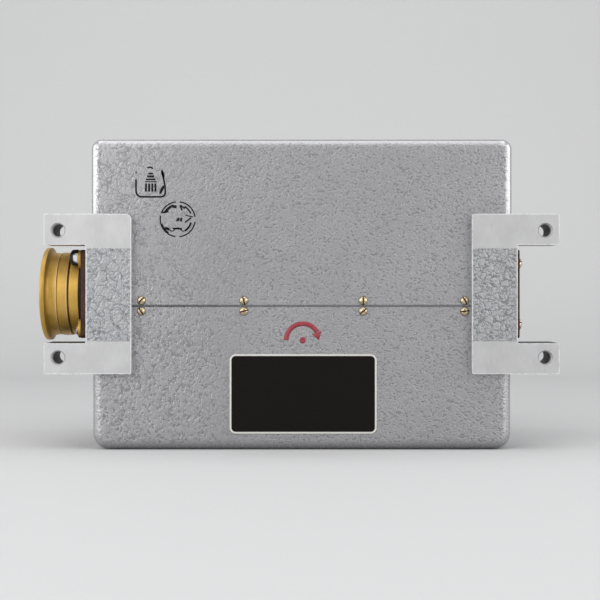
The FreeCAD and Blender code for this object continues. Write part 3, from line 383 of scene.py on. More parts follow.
def grainMaterial(name, look):
    # Plain finish with grain, tone and dust of its own, and painted shade or a painted highlight where the piece
    # carries a value for them: shade where it is positive, highlight where it is negative
    settings = {"Metallic": look["metallic"]}
    if "specular" in look:
        settings["Specular IOR Level"] = look["specular"]
    material, tree, shader, place = newMaterial(name, settings)
    grain = useGroup(tree, surfaceGrain, {"Vector": place, "Stretch": look.get("stretch", (1, 1, 1)),
                                          "Lines": look.get("lines", 2500.0), "Clouds": look["clouds"]})
    dust = useGroup(tree, dustFilm, {"Vector": place, "Amount": look.get("dust", 0.15)})
    colour = tint(tree, rise(tree, grain["Tone"], 0.35, 0.65), look["dark"], look["light"])
    if "shadeAndSheen" in look:
        shadeAndSheen = put(tree, "ShaderNodeAttribute", attribute_name="shadeAndSheen").outputs["Fac"]
        colour = tint(tree, shadeAndSheen, colour, look["shadeAndSheen"])
    if "highlightColour" in look:
        colour = tint(tree, calc(tree, "MULTIPLY", shadeAndSheen, -1.0, clamp=True), colour, look["highlightColour"])
    low, high = look["roughness"]
    rough = put(tree, "ShaderNodeMapRange", {"Value": grain["Tone"], "From Min": 0.3, "From Max": 0.7,
                                             "To Min": low, "To Max": high}).outputs[0]
    fill(tree, shader, {"Base Color": tint(tree, dust["Mask"], colour, (0.42, 0.40, 0.37)), "Roughness": rough,
                        "Normal": bump(tree, grain["Height"], look.get("depth", 0.02))})
    return material


# Paint of the case

casePaint = {
    # Painted light: the lighter and the near-white colour. Painted shade: the dark colour, in the relief's hollows
    # and along the bottom, and the near-black one in the seam
    "light": (0.355, 0.353, 0.366), "paintedLight": (0.42, 0.416, 0.428), "edgeHighlight": (0.56, 0.56, 0.568),
    "dark": (0.13, 0.128, 0.138), "seamShade": (0.006, 0.006, 0.007),
    "hollowShadeShare": 0.58, "depth": 0.17, "roughness": 0.36,
    "round": (4.02, 5.3),                           # depths between which the relief fades on the rounded edges
    "coarseX": (-65.0, 0.0), "lowerZ": (30.0, -20.0),
    "paintedLightX": (-30.0, -110.0), "paintedLightZ": (-30.0, 60.0),
    "edgeHighlightStart": (4.04, 4.3), "edgeHighlightEnd": (7.5, 5.8), "edgeHighlightX": (107.0, 110.5), "edgeHighlightZ": (-30.0, 30.0),
    "seamZ": -6.5, "seam": (0.45, 0.8), "bottomShadeZ": (-79.5, -84.0),
    "coarse": {"Cells": 240.0, "Valley": 0.1, "Broken": 0.8, "Puff": 0.5, "Strokes": 0.2,
               "Pitting": 640.0, "Stretch": (1.1, 1.0, 0.85)},
    "fine": {"Cells": 430.0, "Valley": 0.1, "Broken": 1.0, "Puff": 0.3, "Valleys": 0.4, "Strokes": 0.6,
             "Pitting": 880.0, "Pits": 1.1, "Swell": 1.2, "Stretch": (0.85, 1.0, 1.1),
             "Turn": (0.0, -0.7, 0.0)},
}


def makeCasePaint():
    # Coarse relief at the left and fine at the right, with more pits and swell in the lower part
    c = casePaint
    material, tree, shader, place = newMaterial("hammerPaint", {"Metallic": 0.62, "Coat Weight": 0.1,
                                                                "Coat Roughness": 0.25})
    x, y, z = put(tree, "ShaderNodeSeparateXYZ", {0: place}).outputs
    lower = riseMm(tree, z, c["lowerZ"])
    coarse = useGroup(tree, hammerRelief, {
        "Vector": place, "Pits": plus(tree, times(tree, lower, 0.5), 0.8),
        "Swell": plus(tree, times(tree, lower, 1.1), 0.35),
        "Valleys": minus(tree, 1.3, times(tree, lower, 0.5)), **c["coarse"]})
    fine = useGroup(tree, hammerRelief, {"Vector": place, **c["fine"]})
    wander = minus(tree, times(tree, noise(tree, place, 22.0), 0.06), times(tree, lower, 0.03))
    share = riseMm(tree, plus(tree, x, wander), c["coarseX"])
    height = blend(tree, share, coarse["Height"], fine["Height"])
    dark = blend(tree, share, coarse["HollowShade"], fine["HollowShade"])
    fade = times(tree, riseMm(tree, y, c["round"]), 0.9)
    kept = inverse(tree, fade)

    cloud = rise(tree, noise(tree, place, 30.0, 3.0), 0.3, 0.7)
    body = tint(tree, cloud, tuple(v * 0.95 for v in c["light"]), c["light"])
    # Painted light: lighter towards the upper left corner, where the key light falls, and a painted highlight on
    # the rounded edges, most of all at the sides
    paintedLightShare = plus(tree, times(tree, riseMm(tree, z, c["paintedLightZ"]), 0.6), 0.4)
    body = tint(tree, times(tree, riseMm(tree, x, c["paintedLightX"]), paintedLightShare), body, c["paintedLight"])
    above = plus(tree, 0.3, times(tree, riseMm(tree, z, c["edgeHighlightZ"]), 0.55))
    onSide = plus(tree, 0.2, times(tree, riseMm(tree, apart(tree, x), c["edgeHighlightX"]), 0.8))
    edgeHighlight = times(tree, riseMm(tree, y, c["edgeHighlightStart"]), riseMm(tree, y, c["edgeHighlightEnd"]), above, onSide)
    body = tint(tree, edgeHighlight, body, c["edgeHighlight"])
    # Painted shade in the seam between the covers, weaker towards the right, and painted shade along the bottom
    # edge by the floor
    seam = inverse(tree, riseMm(tree, apart(tree, z, c["seamZ"] * mm), c["seam"]))
    body = tint(tree, times(tree, seam, minus(tree, 0.95, times(tree, share, 0.4))), body, c["seamShade"])
    body = tint(tree, times(tree, riseMm(tree, z, c["bottomShadeZ"]), 0.45), body, c["dark"])
    rough = minus(tree, plus(tree, times(tree, dark, 0.12), c["roughness"]), times(tree, fade, 0.19))
    # Painted shade: the relief's hollows are darkened towards the dark colour, less on the rounded edges
    fill(tree, shader, {"Base Color": tint(tree, times(tree, dark, c["hollowShadeShare"], kept), body, c["dark"]),
                        "Roughness": rough, "Normal": bump(tree, times(tree, height, kept), c["depth"])})
    return material


hammerPaint = makeCasePaint()


# Covers

covers = {
    "front": 4.0, "depth": 112.0, "wall": 1.5, "notchX": 110.7, "notchZ": 43.7, "notchY": 62.3,
    "upper": {"halfWidth": 115.0, "open": -6.2, "closed": 84.6, "cornerR": 5.6, "faceR": 5.0},
    "lower": {"halfWidth": 114.4, "open": -6.8, "closed": -85.0, "cornerR": 9.0, "faceR": 6.0},
}


def coverShell(spec):
    # Outline seen from the front: up one wall, round the corner, across, round and down the other wall.
    # Section through the depth: inset and Y follow a quarter circle at the front, run straight along the
    # wall and follow a quarter circle at the back. A point is outline - inset * outline's normal.
    # The flat faces carry the innermost line over to the split. The inner wall repeats it all, one wall in.
    half, corner, faceR = spec["halfWidth"], spec["cornerR"], spec["faceR"]
    up = math.copysign(1, spec["closed"] - spec["open"])
    low, high = up * spec["open"], up * spec["closed"]
    notchZ, wall = covers["notchZ"], covers["wall"]
    wallZ = np.concatenate([np.linspace(low, notchZ, 14 if up > 0 else 12),
                            np.linspace(notchZ, high - corner, 12)[1:]])
    bend = np.linspace(0, math.pi / 2, 13)
    flat = np.linspace(-(half - corner), half - corner, 60)
    leftX = np.concatenate([np.full(len(wallZ), -half), -half + corner - corner * np.cos(bend)[1:], flat[1:-1]])
    leftZ = np.concatenate([wallZ, high - corner + corner * np.sin(bend)[1:], np.full(len(flat) - 2, high)])
    leftNx = np.concatenate([np.full(len(wallZ), -1.0), -np.cos(bend)[1:], np.zeros(len(flat) - 2)])
    leftNz = np.concatenate([np.zeros(len(wallZ)), np.sin(bend)[1:], np.ones(len(flat) - 2)])
    rightCount = len(wallZ) + len(bend) - 1
    baseX, baseZ, normalX, normalZ = (
        np.concatenate([part, sign * part[:rightCount][::-1]])
        for part, sign in ((leftX, -1), (leftZ, 1), (leftNx, -1), (leftNz, 1)))
    count = len(baseX)

    notchInset = half - covers["notchX"]
    turn = np.sort(np.append(np.linspace(0, math.pi / 2, 12), math.asin(1 - notchInset / faceR)))
    y0, y1 = covers["front"], covers["front"] + covers["depth"]
    along = np.concatenate([np.linspace(faceR, covers["notchY"] - y0, 14)[1:],
                            np.linspace(covers["notchY"] - y0, y1 - y0 - faceR, 14)[1:]])
    inwards = np.linspace(1, 0, 12)[:-1, None]

    def section(thickness):
        # Inset and depth along the section, for the outer skin (0) or the inner one
        r = faceR - thickness
        inset = thickness + r * (1 - np.sin(turn))
        front = y0 + thickness + r * (1 - np.cos(turn))
        back = y1 - thickness - r * (1 - np.cos(turn))
        runY = y0 + along[:-1]
        return (np.concatenate([inset, np.full(len(runY), thickness), inset[::-1]]),
                np.concatenate([front, runY, back[::-1]]))

    def skin(thickness):
        inset, depth = section(thickness)
        x = baseX[None, :] - inset[:, None] * normalX[None, :]
        z = baseZ[None, :] - inset[:, None] * normalZ[None, :]
        y = np.repeat(depth[:, None], count, axis=1)
        splitX = np.linspace(x[0, 0], x[0, -1], count)
        faceX = (1 - inwards) * x[0][None, :] + inwards * splitX[None, :]
        faceZ = (1 - inwards) * z[0][None, :] + inwards * low
        frontY = np.full_like(faceX, depth[0])
        backY = np.full_like(faceX, depth[-1])
        x = np.concatenate([faceX, x, faceX[::-1]])
        y = np.concatenate([frontY, y, backY])
        z = np.concatenate([faceZ, z, faceZ[::-1]])
        return np.stack([x, y, up * z], axis=-1)

    outer, inner = skin(0.0), skin(wall)
    rows = len(outer)
    faces = gridFaces(rows, count)
    column = np.arange(len(faces)) % (count - 1)
    middleX = np.abs(outer[..., 0].ravel()[faces].mean(axis=1))
    middleY = outer[..., 1].ravel()[faces].mean(axis=1)
    middleZ = np.abs(outer[..., 2].ravel()[faces].mean(axis=1))
    # The notch for the bracket is cut out of both side walls
    onWall = (column < len(wallZ) - 1) | (column >= count - len(wallZ))
    cut = onWall & (middleX > covers["notchX"]) & (middleY < covers["notchY"]) & (middleZ < notchZ)
    faces = faces[~cut]
    total = rows * count
    starts, ends = faces.ravel(), np.roll(faces, -1, axis=1).ravel()
    open_ = ~np.isin(starts * total + ends, ends * total + starts)
    a, b = starts[open_], ends[open_]
    rim = np.stack([b, a, a + total, b + total], axis=-1)
    verts = np.concatenate([outer.reshape(-1, 3), inner.reshape(-1, 3)])
    return verts, np.concatenate([faces, faces[:, ::-1] + total, rim])


for side in ("upper", "lower"):
    verts, faces = coverShell(covers[side])
    placePiece(side + "Cover", solidMesh(side + "Cover", verts, faces, 30), hammerPaint,
               stands=(side + "_cover",), bevel=0.22)
print("stage: covers made")


# Brackets

brackets = {
    "bevel": 0.3,
    "paintTop": 24.8, "paintBottom": -25.5,    # bare metal above and below
    "border": 0.6,                             # bare strip along the upright edges of the painted web
    "blur": 0.15, "wander": 1.2,               # softness and waviness of the paint's edge
    "frontY": (0.2, 0.8), "buriedY": (24.8, 25.4),
    "holeX": 132.0, "holeZ": 34.5, "holeR": 3.5, "chamferR": 4.0, "shadeY": (2.5, 7.5),
    "gapShadeX": (117.2, 117.8), "gapShadeY": (0.6, 2.0), "gapShadeReach": 1.2,
    # Painted shade among these colours: the valley colour, the near-black gap colour, the chamfer colour and the
    # shade colour
    "paint": (0.39, 0.395, 0.408), "valley": (0.14, 0.14, 0.15),
    "dull": (0.50, 0.50, 0.505), "bright": (0.575, 0.575, 0.58), "edge": (0.94, 0.94, 0.94),
    "gapShade": (0.06, 0.057, 0.054), "chamferShade": (0.22, 0.22, 0.22), "wall": (0.55, 0.54, 0.53),
    "shade": (0.006, 0.006, 0.006),
    "left": {"cells": 215.0, "valley": 0.09, "pits": 0.2, "depth": 0.22, "dark": 0.75, "tone": 1.0,
             "innerX": -92.3, "outerX": -117.0},
    # The right bracket's tone below 1 darkens it all over: painted shade
    "right": {"cells": 270.0, "valley": 0.1, "pits": 0.8, "depth": 0.3, "dark": 0.85, "tone": 0.93,
              "innerX": 92.3, "outerX": 117.0},
}


def makeBracketMetal(name, spec):
    # Satin machined aluminium, with hammer paint on the web between the ears and on the buried flange
    b = brackets
    material, tree, shader, place = newMaterial(name, {})
    x, y, z = put(tree, "ShaderNodeSeparateXYZ", {0: place}).outputs
    relief = useGroup(tree, hammerRelief, {"Vector": place, "Cells": spec["cells"], "Valley": spec["valley"],
                                           "Broken": 0.6, "Puff": 0.8, "Valleys": 1.0, "Strokes": 0.1,
                                           "Pitting": 620.0, "Pits": spec["pits"]})
    grain = useGroup(tree, surfaceGrain, {"Vector": place, "Stretch": (1.0, 0.3, 0.07), "Lines": 2600.0,
                                          "Clouds": 70.0})
    wear = useGroup(tree, edgeWear, {"Vector": place, "Radius": 0.9 * mm, "Breaks": 400.0})["Mask"]
    wander = times(tree, minus(tree, noise(tree, place, 420.0), 0.5), b["wander"] * mm)

    def within(value, middle, reach):
        # 1 where the value is nearer to the middle than the reach, along a wavy edge
        off = apart(tree, value, middle * mm)
        return inverse(tree, riseMm(tree, plus(tree, off, wander), (reach - b["blur"], reach + b["blur"])))

    middleZ, halfHeight = (b["paintTop"] + b["paintBottom"]) / 2, (b["paintTop"] - b["paintBottom"]) / 2
    middleX, halfWidth = (spec["innerX"] + spec["outerX"]) / 2, abs(spec["outerX"] - spec["innerX"]) / 2
    front = inverse(tree, riseMm(tree, y, b["frontY"]))
    onWeb = times(tree, within(z, middleZ, halfHeight), within(x, middleX, halfWidth - b["border"]), front)
    paint = calc(tree, "MAXIMUM", onWeb, riseMm(tree, plus(tree, y, wander), b["buriedY"]))

    # Distance to the nearer foot hole's axis, for the painted shade on its chamfer and the dark far end of its
    # wall
    across = minus(tree, apart(tree, x), b["holeX"] * mm)
    up = minus(tree, apart(tree, z), b["holeZ"] * mm)
    distance = calc(tree, "SQRT", plus(tree, times(tree, across, across), times(tree, up, up)))
    bore = inverse(tree, riseMm(tree, distance, (b["holeR"] + 0.05, b["holeR"] + 0.12)))
    ringed = inverse(tree, riseMm(tree, distance, (b["chamferR"] + 0.1, b["chamferR"] + 0.25)))

    # Painted shade: a tone below 1 darkens the paint and the bare metal alike
    paintTone, dull, bright = (tuple(v * spec["tone"] for v in b[key]) for key in ("paint", "dull", "bright"))
    # Painted shade: the relief's valleys and pits are darkened towards the valley colour
    body = tint(tree, times(tree, relief["HollowShade"], spec["dark"]), paintTone, b["valley"])
    metal = tint(tree, rise(tree, grain["Tone"], 0.35, 0.65), dull, bright)
    metal = tint(tree, wear, metal, b["edge"])
    # Painted shade: the ears' faces that look at each other are darkened behind their front edge, in the gap
    # between them
    facing = inverse(tree, riseMm(tree, apart(tree, z, middleZ * mm), (halfHeight + b["gapShadeReach"],
                                                                     halfHeight + b["gapShadeReach"] + 0.2)))
    gapShade = times(tree, facing, riseMm(tree, apart(tree, x), b["gapShadeX"]), riseMm(tree, y, b["gapShadeY"]))
    metal = tint(tree, gapShade, metal, b["gapShade"])
    # Painted shade on the chamfer round the hole's mouth
    metal = tint(tree, times(tree, ringed, front, 0.7), metal, b["chamferShade"])
    metal = tint(tree, bore, metal, b["wall"])
    metal = tint(tree, times(tree, bore, riseMm(tree, y, b["shadeY"])), metal, b["shade"])
    bare = times(tree, minus(tree, 0.7, times(tree, paint, 0.3)), inverse(tree, bore))
    profile = blend(tree, paint, times(tree, grain["Height"], 0.03), plus(tree, relief["Height"], 0.35))
    fill(tree, shader, {"Base Color": tint(tree, paint, metal, body), "Metallic": bare,
                        "Roughness": minus(tree, 0.52, times(tree, paint, 0.16)),
                        "Normal": bump(tree, profile, spec["depth"])})
    return material


for side in ("left", "right"):
    placePiece(side + "Bracket", cadCopy(side + "Bracket", side + "_bracket"),
               makeBracketMetal(side + "BracketMetal", brackets[side]),
               stands=(side + "_bracket",), bevel=brackets["bevel"], steps=3)
print("stage: brackets made")


# Connector and its cap

connector = {
    "faceX": -117.0, "axisY": 32.0, "segments": 160,
    "shell": {"bore": 17.5, "rear": -11.5, "rearR": 19.0, "seat": 4.0, "collarR": 22.9, "collarEnd": 11.0,
              "barrelR": 20.0, "mouth": 22.6, "threadStart": 12.6, "threadPitch": 1.0, "threadDepth": 0.45},
    "flange": {"discR": 24.0, "lugR": 4.3, "lugReach": 28.0, "base": 4.0, "thickness": 1.8},
    "cap": {"bore": 20.1, "skirt": 12.0, "bandR": 23.3, "groove": 17.2, "grooveT": 0.7, "grooveDepth": 1.1,
            "innerBandR": 23.0, "lipFoot": 24.0, "flareLength": 4.2, "lipR": 26.0, "end": 26.6, "dishR": 21.0,
            "dishDepth": 1.0, "endWall": 2.6, "highlightBand": 0.7, "flareShade": 0.3},
}
connectorPlace = (connector["faceX"], connector["axisY"], 0.0)

# The last two colours are painted shade and a painted highlight, laid on where the pieces carry them
chromateLook = {"dark": (0.455, 0.268, 0.045), "light": (0.56, 0.343, 0.07), "metallic": 0.55,
                "roughness": (0.38, 0.48), "stretch": (1.0, 0.15, 0.15), "lines": 1800.0, "clouds": 70.0,
                "depth": 0.008, "dust": 0.1, "shadeAndSheen": (0.01, 0.006, 0.003), "highlightColour": (0.95, 0.76, 0.42)}
yellowChromate = grainMaterial("yellowChromate", chromateLook)


def makeCap():
    # The outline runs up the outside, over the lip, in along the dished end and down the bore
    c = connector["cap"]
    flare = c["lipR"] - c["innerBandR"]
    bend = np.linspace(0, 1, 7)[:, None]
    first = np.array([c["innerBandR"], c["lipFoot"] - c["flareLength"]])
    last = np.array([c["lipR"], c["lipFoot"]])
    pull = np.array([c["innerBandR"] + 0.1 * flare, c["lipFoot"] - 0.1 * flare])
    curve = (1 - bend) ** 2 * first + 2 * bend * (1 - bend) * pull + bend ** 2 * last
    deep = c["bandR"] - c["grooveDepth"]
    upper = c["groove"] + c["grooveT"]
    before = [(c["bore"], c["skirt"]), (c["bandR"], c["skirt"]), (c["bandR"], c["skirt"] + c["highlightBand"]),
              (c["bandR"], c["groove"]), (deep, c["groove"]), (deep, upper), (c["innerBandR"], upper),
              (c["innerBandR"], upper + c["highlightBand"])]
    after = [(c["lipR"], c["end"]), (c["dishR"], c["end"]), (c["dishR"] - 1, c["end"] - c["dishDepth"]),
             (0, c["end"] - c["dishDepth"]), (0, c["end"] - c["endWall"]), (c["bore"], c["end"] - c["endWall"])]
    corners = np.concatenate([before, curve, after])
    radii = [0.25, 0.3, 0, 0.2, 0.05, 0.05, 0.2, 0] + [0.02] * 6 + [0.2] + [0.55, 0.3, 0.2, 0, 0, 0.2]
    verts, faces = turned(rounded(corners, radii, 4), connector["segments"])
    # Painted highlights along two edges, e to the minus (distance / width) squared, and painted shade in the
    # hollow of the flare
    reach, height = np.hypot(verts[:, 0], verts[:, 1]), verts[:, 2]
    shadeAndSheen = c["flareShade"] * np.exp(-((height - c["lipFoot"] + 0.5) / 1.1) ** 2) * (reach > c["innerBandR"])
    for radius, level in ((c["bandR"], c["skirt"]), (c["innerBandR"], upper)):
        off = (reach - radius) ** 2 + (height - level) ** 2
        shadeAndSheen -= c["highlightBand"] * np.exp(-off / (0.6 * c["highlightBand"]) ** 2)
    return solidMesh("protectiveCap", carried(verts, connectorPlace, "-x"), faces, 32, shadeAndSheen)


def makeShell():
    # A turned barrel whose thread is a row of rounded ridges, and the lugged flange round its collar
    s = connector["shell"]
    ridges = np.arange(s["threadStart"], s["mouth"] - 1.0, s["threadPitch"])
    crest = np.stack([np.full_like(ridges, s["barrelR"]), ridges], axis=-1)
    root = crest + [-s["threadDepth"], s["threadPitch"] / 2]
    thread = np.stack([crest, root], axis=1).reshape(-1, 2)
    before = [(s["bore"], s["rear"]), (s["rearR"], s["rear"]), (s["rearR"], s["seat"]),
              (s["collarR"], s["seat"]), (s["collarR"], s["collarEnd"]), (s["barrelR"], s["collarEnd"])]
    after = [(s["barrelR"] - 0.5, s["mouth"]), (s["bore"], s["mouth"])]
    corners = np.concatenate([before, thread, after])
    radii = [0.2, 0.2, 0.0, 0.0, 0.3, 0.1] + [0.2] * len(thread) + [0.2, 0.2]
    barrel = turned(rounded(corners, radii, 3), connector["segments"])
    flange = luggedPlate(connector["flange"], s["collarR"] - 0.2, 0.25)
    verts, faces = joined([barrel, flange])
    # Painted shade on the flange's rim between the lugs, under the collar's overhang
    reach = np.hypot(verts[:, 0], verts[:, 1])
    shadeAndSheen = np.clip((reach - s["collarR"] - 0.1) / 0.3, 0, 1) * (reach < connector["flange"]["discR"] + 0.15)
    return solidMesh("connectorShell", carried(verts, connectorPlace, "-x"), faces, 32, shadeAndSheen)


placePiece("protectiveCap", makeCap(), yellowChromate, body="connector_cap",
           stands=("protective_cap",))
placePiece("connectorShell", makeShell(), yellowChromate, stands=("connector_shell",))

laminateLook = {"dark": (0.03, 0.013, 0.009), "light": (0.085, 0.042, 0.028), "metallic": 0.0, "specular": 0.25,
                "roughness": (0.38, 0.55), "stretch": (1.0, 0.2, 0.2), "lines": 2600.0, "clouds": 150.0,
                "depth": 0.03, "dust": 0.05}
brownLaminate = grainMaterial("brownLaminate", laminateLook)
placePiece("connectorGasket", cadCopy("connectorGasket", "connector_gasket"), brownLaminate,
           stands=("connector_gasket",), bevel=0.25)
placePiece("endPlate", cadCopy("endPlate", "end_plate"), brownLaminate,
           stands=("end_plate",), bevel=0.3)
print("stage: connector, cap and end plate made")


# Round-head screws

screws = {
    "cover": {"headR": 2.35, "height": 1.6, "shankR": 1.25, "length": 6.0, "slot": 0.36,
              "x": (-87.4, -31.5, 33.5, 88.8), "frontY": 4.0, "rearY": 116.0, "splitZ": -6.5, "offSplit": 2.9,
              "turns": (48, 105, 90, 120, 122, 15, 40, 8)},
    "flange": {"headR": 3.1, "height": 1.7, "shankR": 1.5, "length": 9.8, "slot": 0.46,
               "x": -122.8, "y": (12.2, 51.8), "z": (-19.8, 19.8), "turn": 20, "cupFloor": 0.4},
    "end": {"headR": 3.5, "height": 2.6, "shankR": 1.5, "length": 6.4, "slot": 0.5,
            "x": 119.4, "y": (15.2, 48.8), "z": (-16.8, 16.8), "turn": 70},
    "flatness": 0.93,    # share of a full dome that the heads keep at the rim
}


def slottedScrew(spec, turn):
    # The square (u, v) goes to the disc as x = u sqrt(1 - v^2), y = v, so rows of equal v are straight.
    # Height is a dome, h sqrt(1 - (flat r)^2) stretched to the rim, and drops to the slot's floor between
    # two close pairs of rows. The rim runs down to the seat, and a ring of the same rows closes on the shank.
    half, rimH, flat = spec["headR"], spec["height"] * 0.22, screws["flatness"]
    slot = spec["slot"] / half
    inner = np.array([0.0, 0.5, 0.86, 0.97]) * slot
    outer = np.concatenate([np.array([1.03, 1.14, 1.4]) * slot, np.sin(np.linspace(slot * 2, math.pi / 2, 14))])
    v = np.concatenate([-outer[::-1], -inner[1:][::-1], inner, outer])
    u = np.sin(np.linspace(-math.pi / 2, math.pi / 2, 25))
    x = u[None, :] * np.sqrt(1 - v[:, None] ** 2)
    y = np.repeat(v[:, None], len(u), axis=1)
    r = np.sqrt(x ** 2 + y ** 2)
    rimDome = math.sqrt(1 - flat ** 2)
    dome = (np.sqrt(1 - (flat * r) ** 2) - rimDome) / (1 - rimDome)
    z = rimH + (spec["height"] - rimH) * dome
    lip = np.clip((np.abs(y) / slot - 1.03) / 0.3, 0, 1)
    z = z - 0.05 * (1 - lip) * (np.abs(y) > slot)
    z = np.where(np.abs(y) < slot, np.minimum(z, spec["height"] * 0.42), z)
    # Painted shade in the slot and round the rim, where the head meets the face
    shadeAndSheen = np.maximum(np.abs(y) < slot * 1.02, 0.75 * np.clip((r - 0.9) / 0.08, 0, 1))
    top = np.stack([x * half, y * half, z], axis=-1).reshape(-1, 3)
    index = np.arange(len(top)).reshape(x.shape)
    loop = np.concatenate([index[:, -1], index[:, 0][::-1]])
    circle = top[loop, :2] / half
    levels = [(half, 0.08), (half - 0.08, 0.0), (spec["shankR"], 0.0), (spec["shankR"], -spec["length"]),
              (0.0, -spec["length"])]
    rings = [np.column_stack([circle * radius, np.full(len(loop), height)]) for radius, height in levels]
    verts = np.concatenate([top] + rings)
    chain = [loop] + [len(top) + i * len(loop) + np.arange(len(loop)) for i in range(len(rings))]
    skirts = [np.stack([a, np.roll(a, -1), np.roll(b, -1), b], axis=-1) for a, b in zip(chain, chain[1:])]
    angle = math.radians(turn)
    spin = np.array([[math.cos(angle), math.sin(angle), 0], [-math.sin(angle), math.cos(angle), 0], [0, 0, 1]])
    # Painted shade on the seat and the shank, which lie out of the light
    shadeAndSheen = np.concatenate([shadeAndSheen.ravel(), np.full(len(verts) - len(top), 0.75)])
    return verts @ spin, np.concatenate([gridFaces(*x.shape)] + skirts), shadeAndSheen


def placeScrews(name, node, kind, places, material):
    # Several screws in one mesh, each at its place, side and turn
    parts, shadeAndSheenParts = [], []
    for position, direction, turn in places:
        verts, faces, shadeAndSheen = slottedScrew(screws[kind], turn)
        parts.append((carried(verts, position, direction), faces))
        shadeAndSheenParts.append(shadeAndSheen)
    mesh = solidMesh(name, *joined(parts), 38, np.concatenate(shadeAndSheenParts))
    placePiece(name, mesh, material, stands=(node,))


# The last colour is painted shade, for the slots and round the heads' rims
giltLook = {"dark": (0.34, 0.26, 0.15), "light": (0.66, 0.55, 0.37), "metallic": 0.9, "roughness": (0.18, 0.28),
            "lines": 1800.0, "clouds": 700.0, "depth": 0.01, "dust": 0.05, "shadeAndSheen": (0.045, 0.028, 0.012)}
giltScrews = grainMaterial("giltScrews", giltLook)
brassDomes = grainMaterial("paleDomes", {**giltLook, "dark": (0.62, 0.50, 0.38), "light": (0.86, 0.74, 0.62)})

cover, flange, end = screws["cover"], screws["flange"], screws["end"]
coverPlaces = [(x, cover["splitZ"] + side * cover["offSplit"], cover["turns"][row * 4 + i])
               for row, side in enumerate((1, -1)) for i, x in enumerate(cover["x"])]
# The screw in the cup sits one cup's floor further out
flangePlaces = [((flange["x"] - (flange["cupFloor"] if y == min(flange["y"]) and z > 0 else 0), y, z), "-x",
                 flange["turn"]) for y in flange["y"] for z in flange["z"]]
for name, node, facing in (("frontCoverScrews", "front_cover_screws", "-y"),
                           ("rearCoverScrews", "rear_cover_screws", "+y")):
    depth = cover["frontY"] if facing == "-y" else cover["rearY"]
    placeScrews(name, node, "cover", [((x, depth, z), facing, turn) for x, z, turn in coverPlaces], giltScrews)
placeScrews("connectorScrews", "connector_screws", "flange", flangePlaces, brassDomes)
placeScrews("endPlateScrews", "end_plate_screws", "end",
            [((end["x"], y, z), "+x", end["turn"]) for y in end["y"] for z in end["z"]], brassDomes)
print("stage: screws made")


# Sealing cup with its mastic

seal = {
    "place": (-122.8, 12.2, 19.8),
    "cupR": 3.7, "wall": 0.4, "hole": 1.55, "height": 2.9, "shoulder": 1.1,
    "mastic": {"wide": 4.7, "crown": 4.5, "floor": 2.1, "windowR": 3.15},
}


def makeCup():
    # A thin-walled cup turned round the screw's axis, with a well rounded shoulder
    c = seal
    mouth = c["cupR"] - c["shoulder"]
    corners = [(c["hole"], 0), (c["cupR"], 0), (c["cupR"], c["height"]), (mouth, c["height"]),
               (mouth, c["wall"]), (c["hole"], c["wall"])]
    verts, faces = turned(rounded(corners, [0.05, 0.3, c["shoulder"], 0.12, 0.2, 0.05], 8), 72)
    return solidMesh("sealingCup", carried(verts, c["place"], "-x"), faces, 50)


def makeMastic():
    # A crown over the cup's mouth with a skirt round it. Towards the front the skirt stops at an arch
    # sqrt(windowR^2 - x^2); width and crown swell and shrink round the axis.
    m, top = seal["mastic"], seal["height"]
    inner = seal["cupR"] - seal["shoulder"] - 0.02
    skirt = seal["cupR"] + 0.02
    corners = [(0, m["floor"]), (inner, m["floor"]), (inner, top + 0.02), (skirt, top - 0.3), (skirt, 0),
               (m["wide"], 0), (m["wide"], top + 0.4), (m["wide"] * 0.66, m["crown"]), (0, m["crown"])]
    outline = rounded(corners, [0, 0.1, 0.05, 0.3, 0.15, 0.3, 0.9, 0.8, 0], 6)

    def ripple(radius, height, angle):
        swell = 0.5 * np.sin(2 * angle + 0.7) + 0.3 * np.sin(3 * angle + 2.1) + 0.2 * np.sin(7 * angle)
        arch = np.sqrt(np.maximum(m["windowR"] ** 2 - (radius * np.cos(angle)) ** 2, 0)) * (np.sin(angle) < 0)
        arch = np.minimum(arch, top - 0.15)
        outside = np.clip((radius - skirt + 0.3) / 0.3, 0, 1)
        lifted = arch + height * (top + 0.2 - arch) / (top + 0.2)
        height = np.where(height < top + 0.2, height + outside * (lifted - height), height)
        crowned = np.clip((height - top) / 1.6, 0, 1)
        radius = radius + np.clip((radius - skirt) / 0.6, 0, 1) * (0.22 * swell - 0.24)
        return radius, height - crowned * (0.2 * (1 + swell))

    verts, faces = turned(outline, 144, ripple)
    return solidMesh("sealMastic", carried(verts, seal["place"], "-x"), faces, 60)


platedLook = {"dark": (0.78, 0.77, 0.80), "light": (0.88, 0.87, 0.90), "metallic": 0.35,
              "roughness": (0.3, 0.4), "clouds": 300.0, "depth": 0.004, "dust": 0.05}
masticLook = {"dark": (0.004, 0.004, 0.004), "light": (0.012, 0.012, 0.013), "metallic": 0.0,
              "roughness": (0.4, 0.55), "lines": 900.0, "clouds": 700.0, "depth": 0.15, "dust": 0.02,
              "specular": 0.2}
placePiece("sealingCup", makeCup(), grainMaterial("platedCup", platedLook),
           stands=("sealing_cup",))
placePiece("sealMastic", makeMastic(), grainMaterial("sealMastic", masticLook),
           stands=("seal_mastic",))
print("stage: seal made")


# Plate and marks on the front

frontPlate = {"width": 80.0, "height": 43.2, "x": 0.8, "z": -54.4, "cornerR": 3.3, "border": 0.93, "blur": 0.06,
              "black": (0.0055, 0.0035, 0.0035), "scuffed": (0.022, 0.018, 0.017),
              "dull": (0.74, 0.72, 0.67), "bright": (0.9, 0.88, 0.84)}


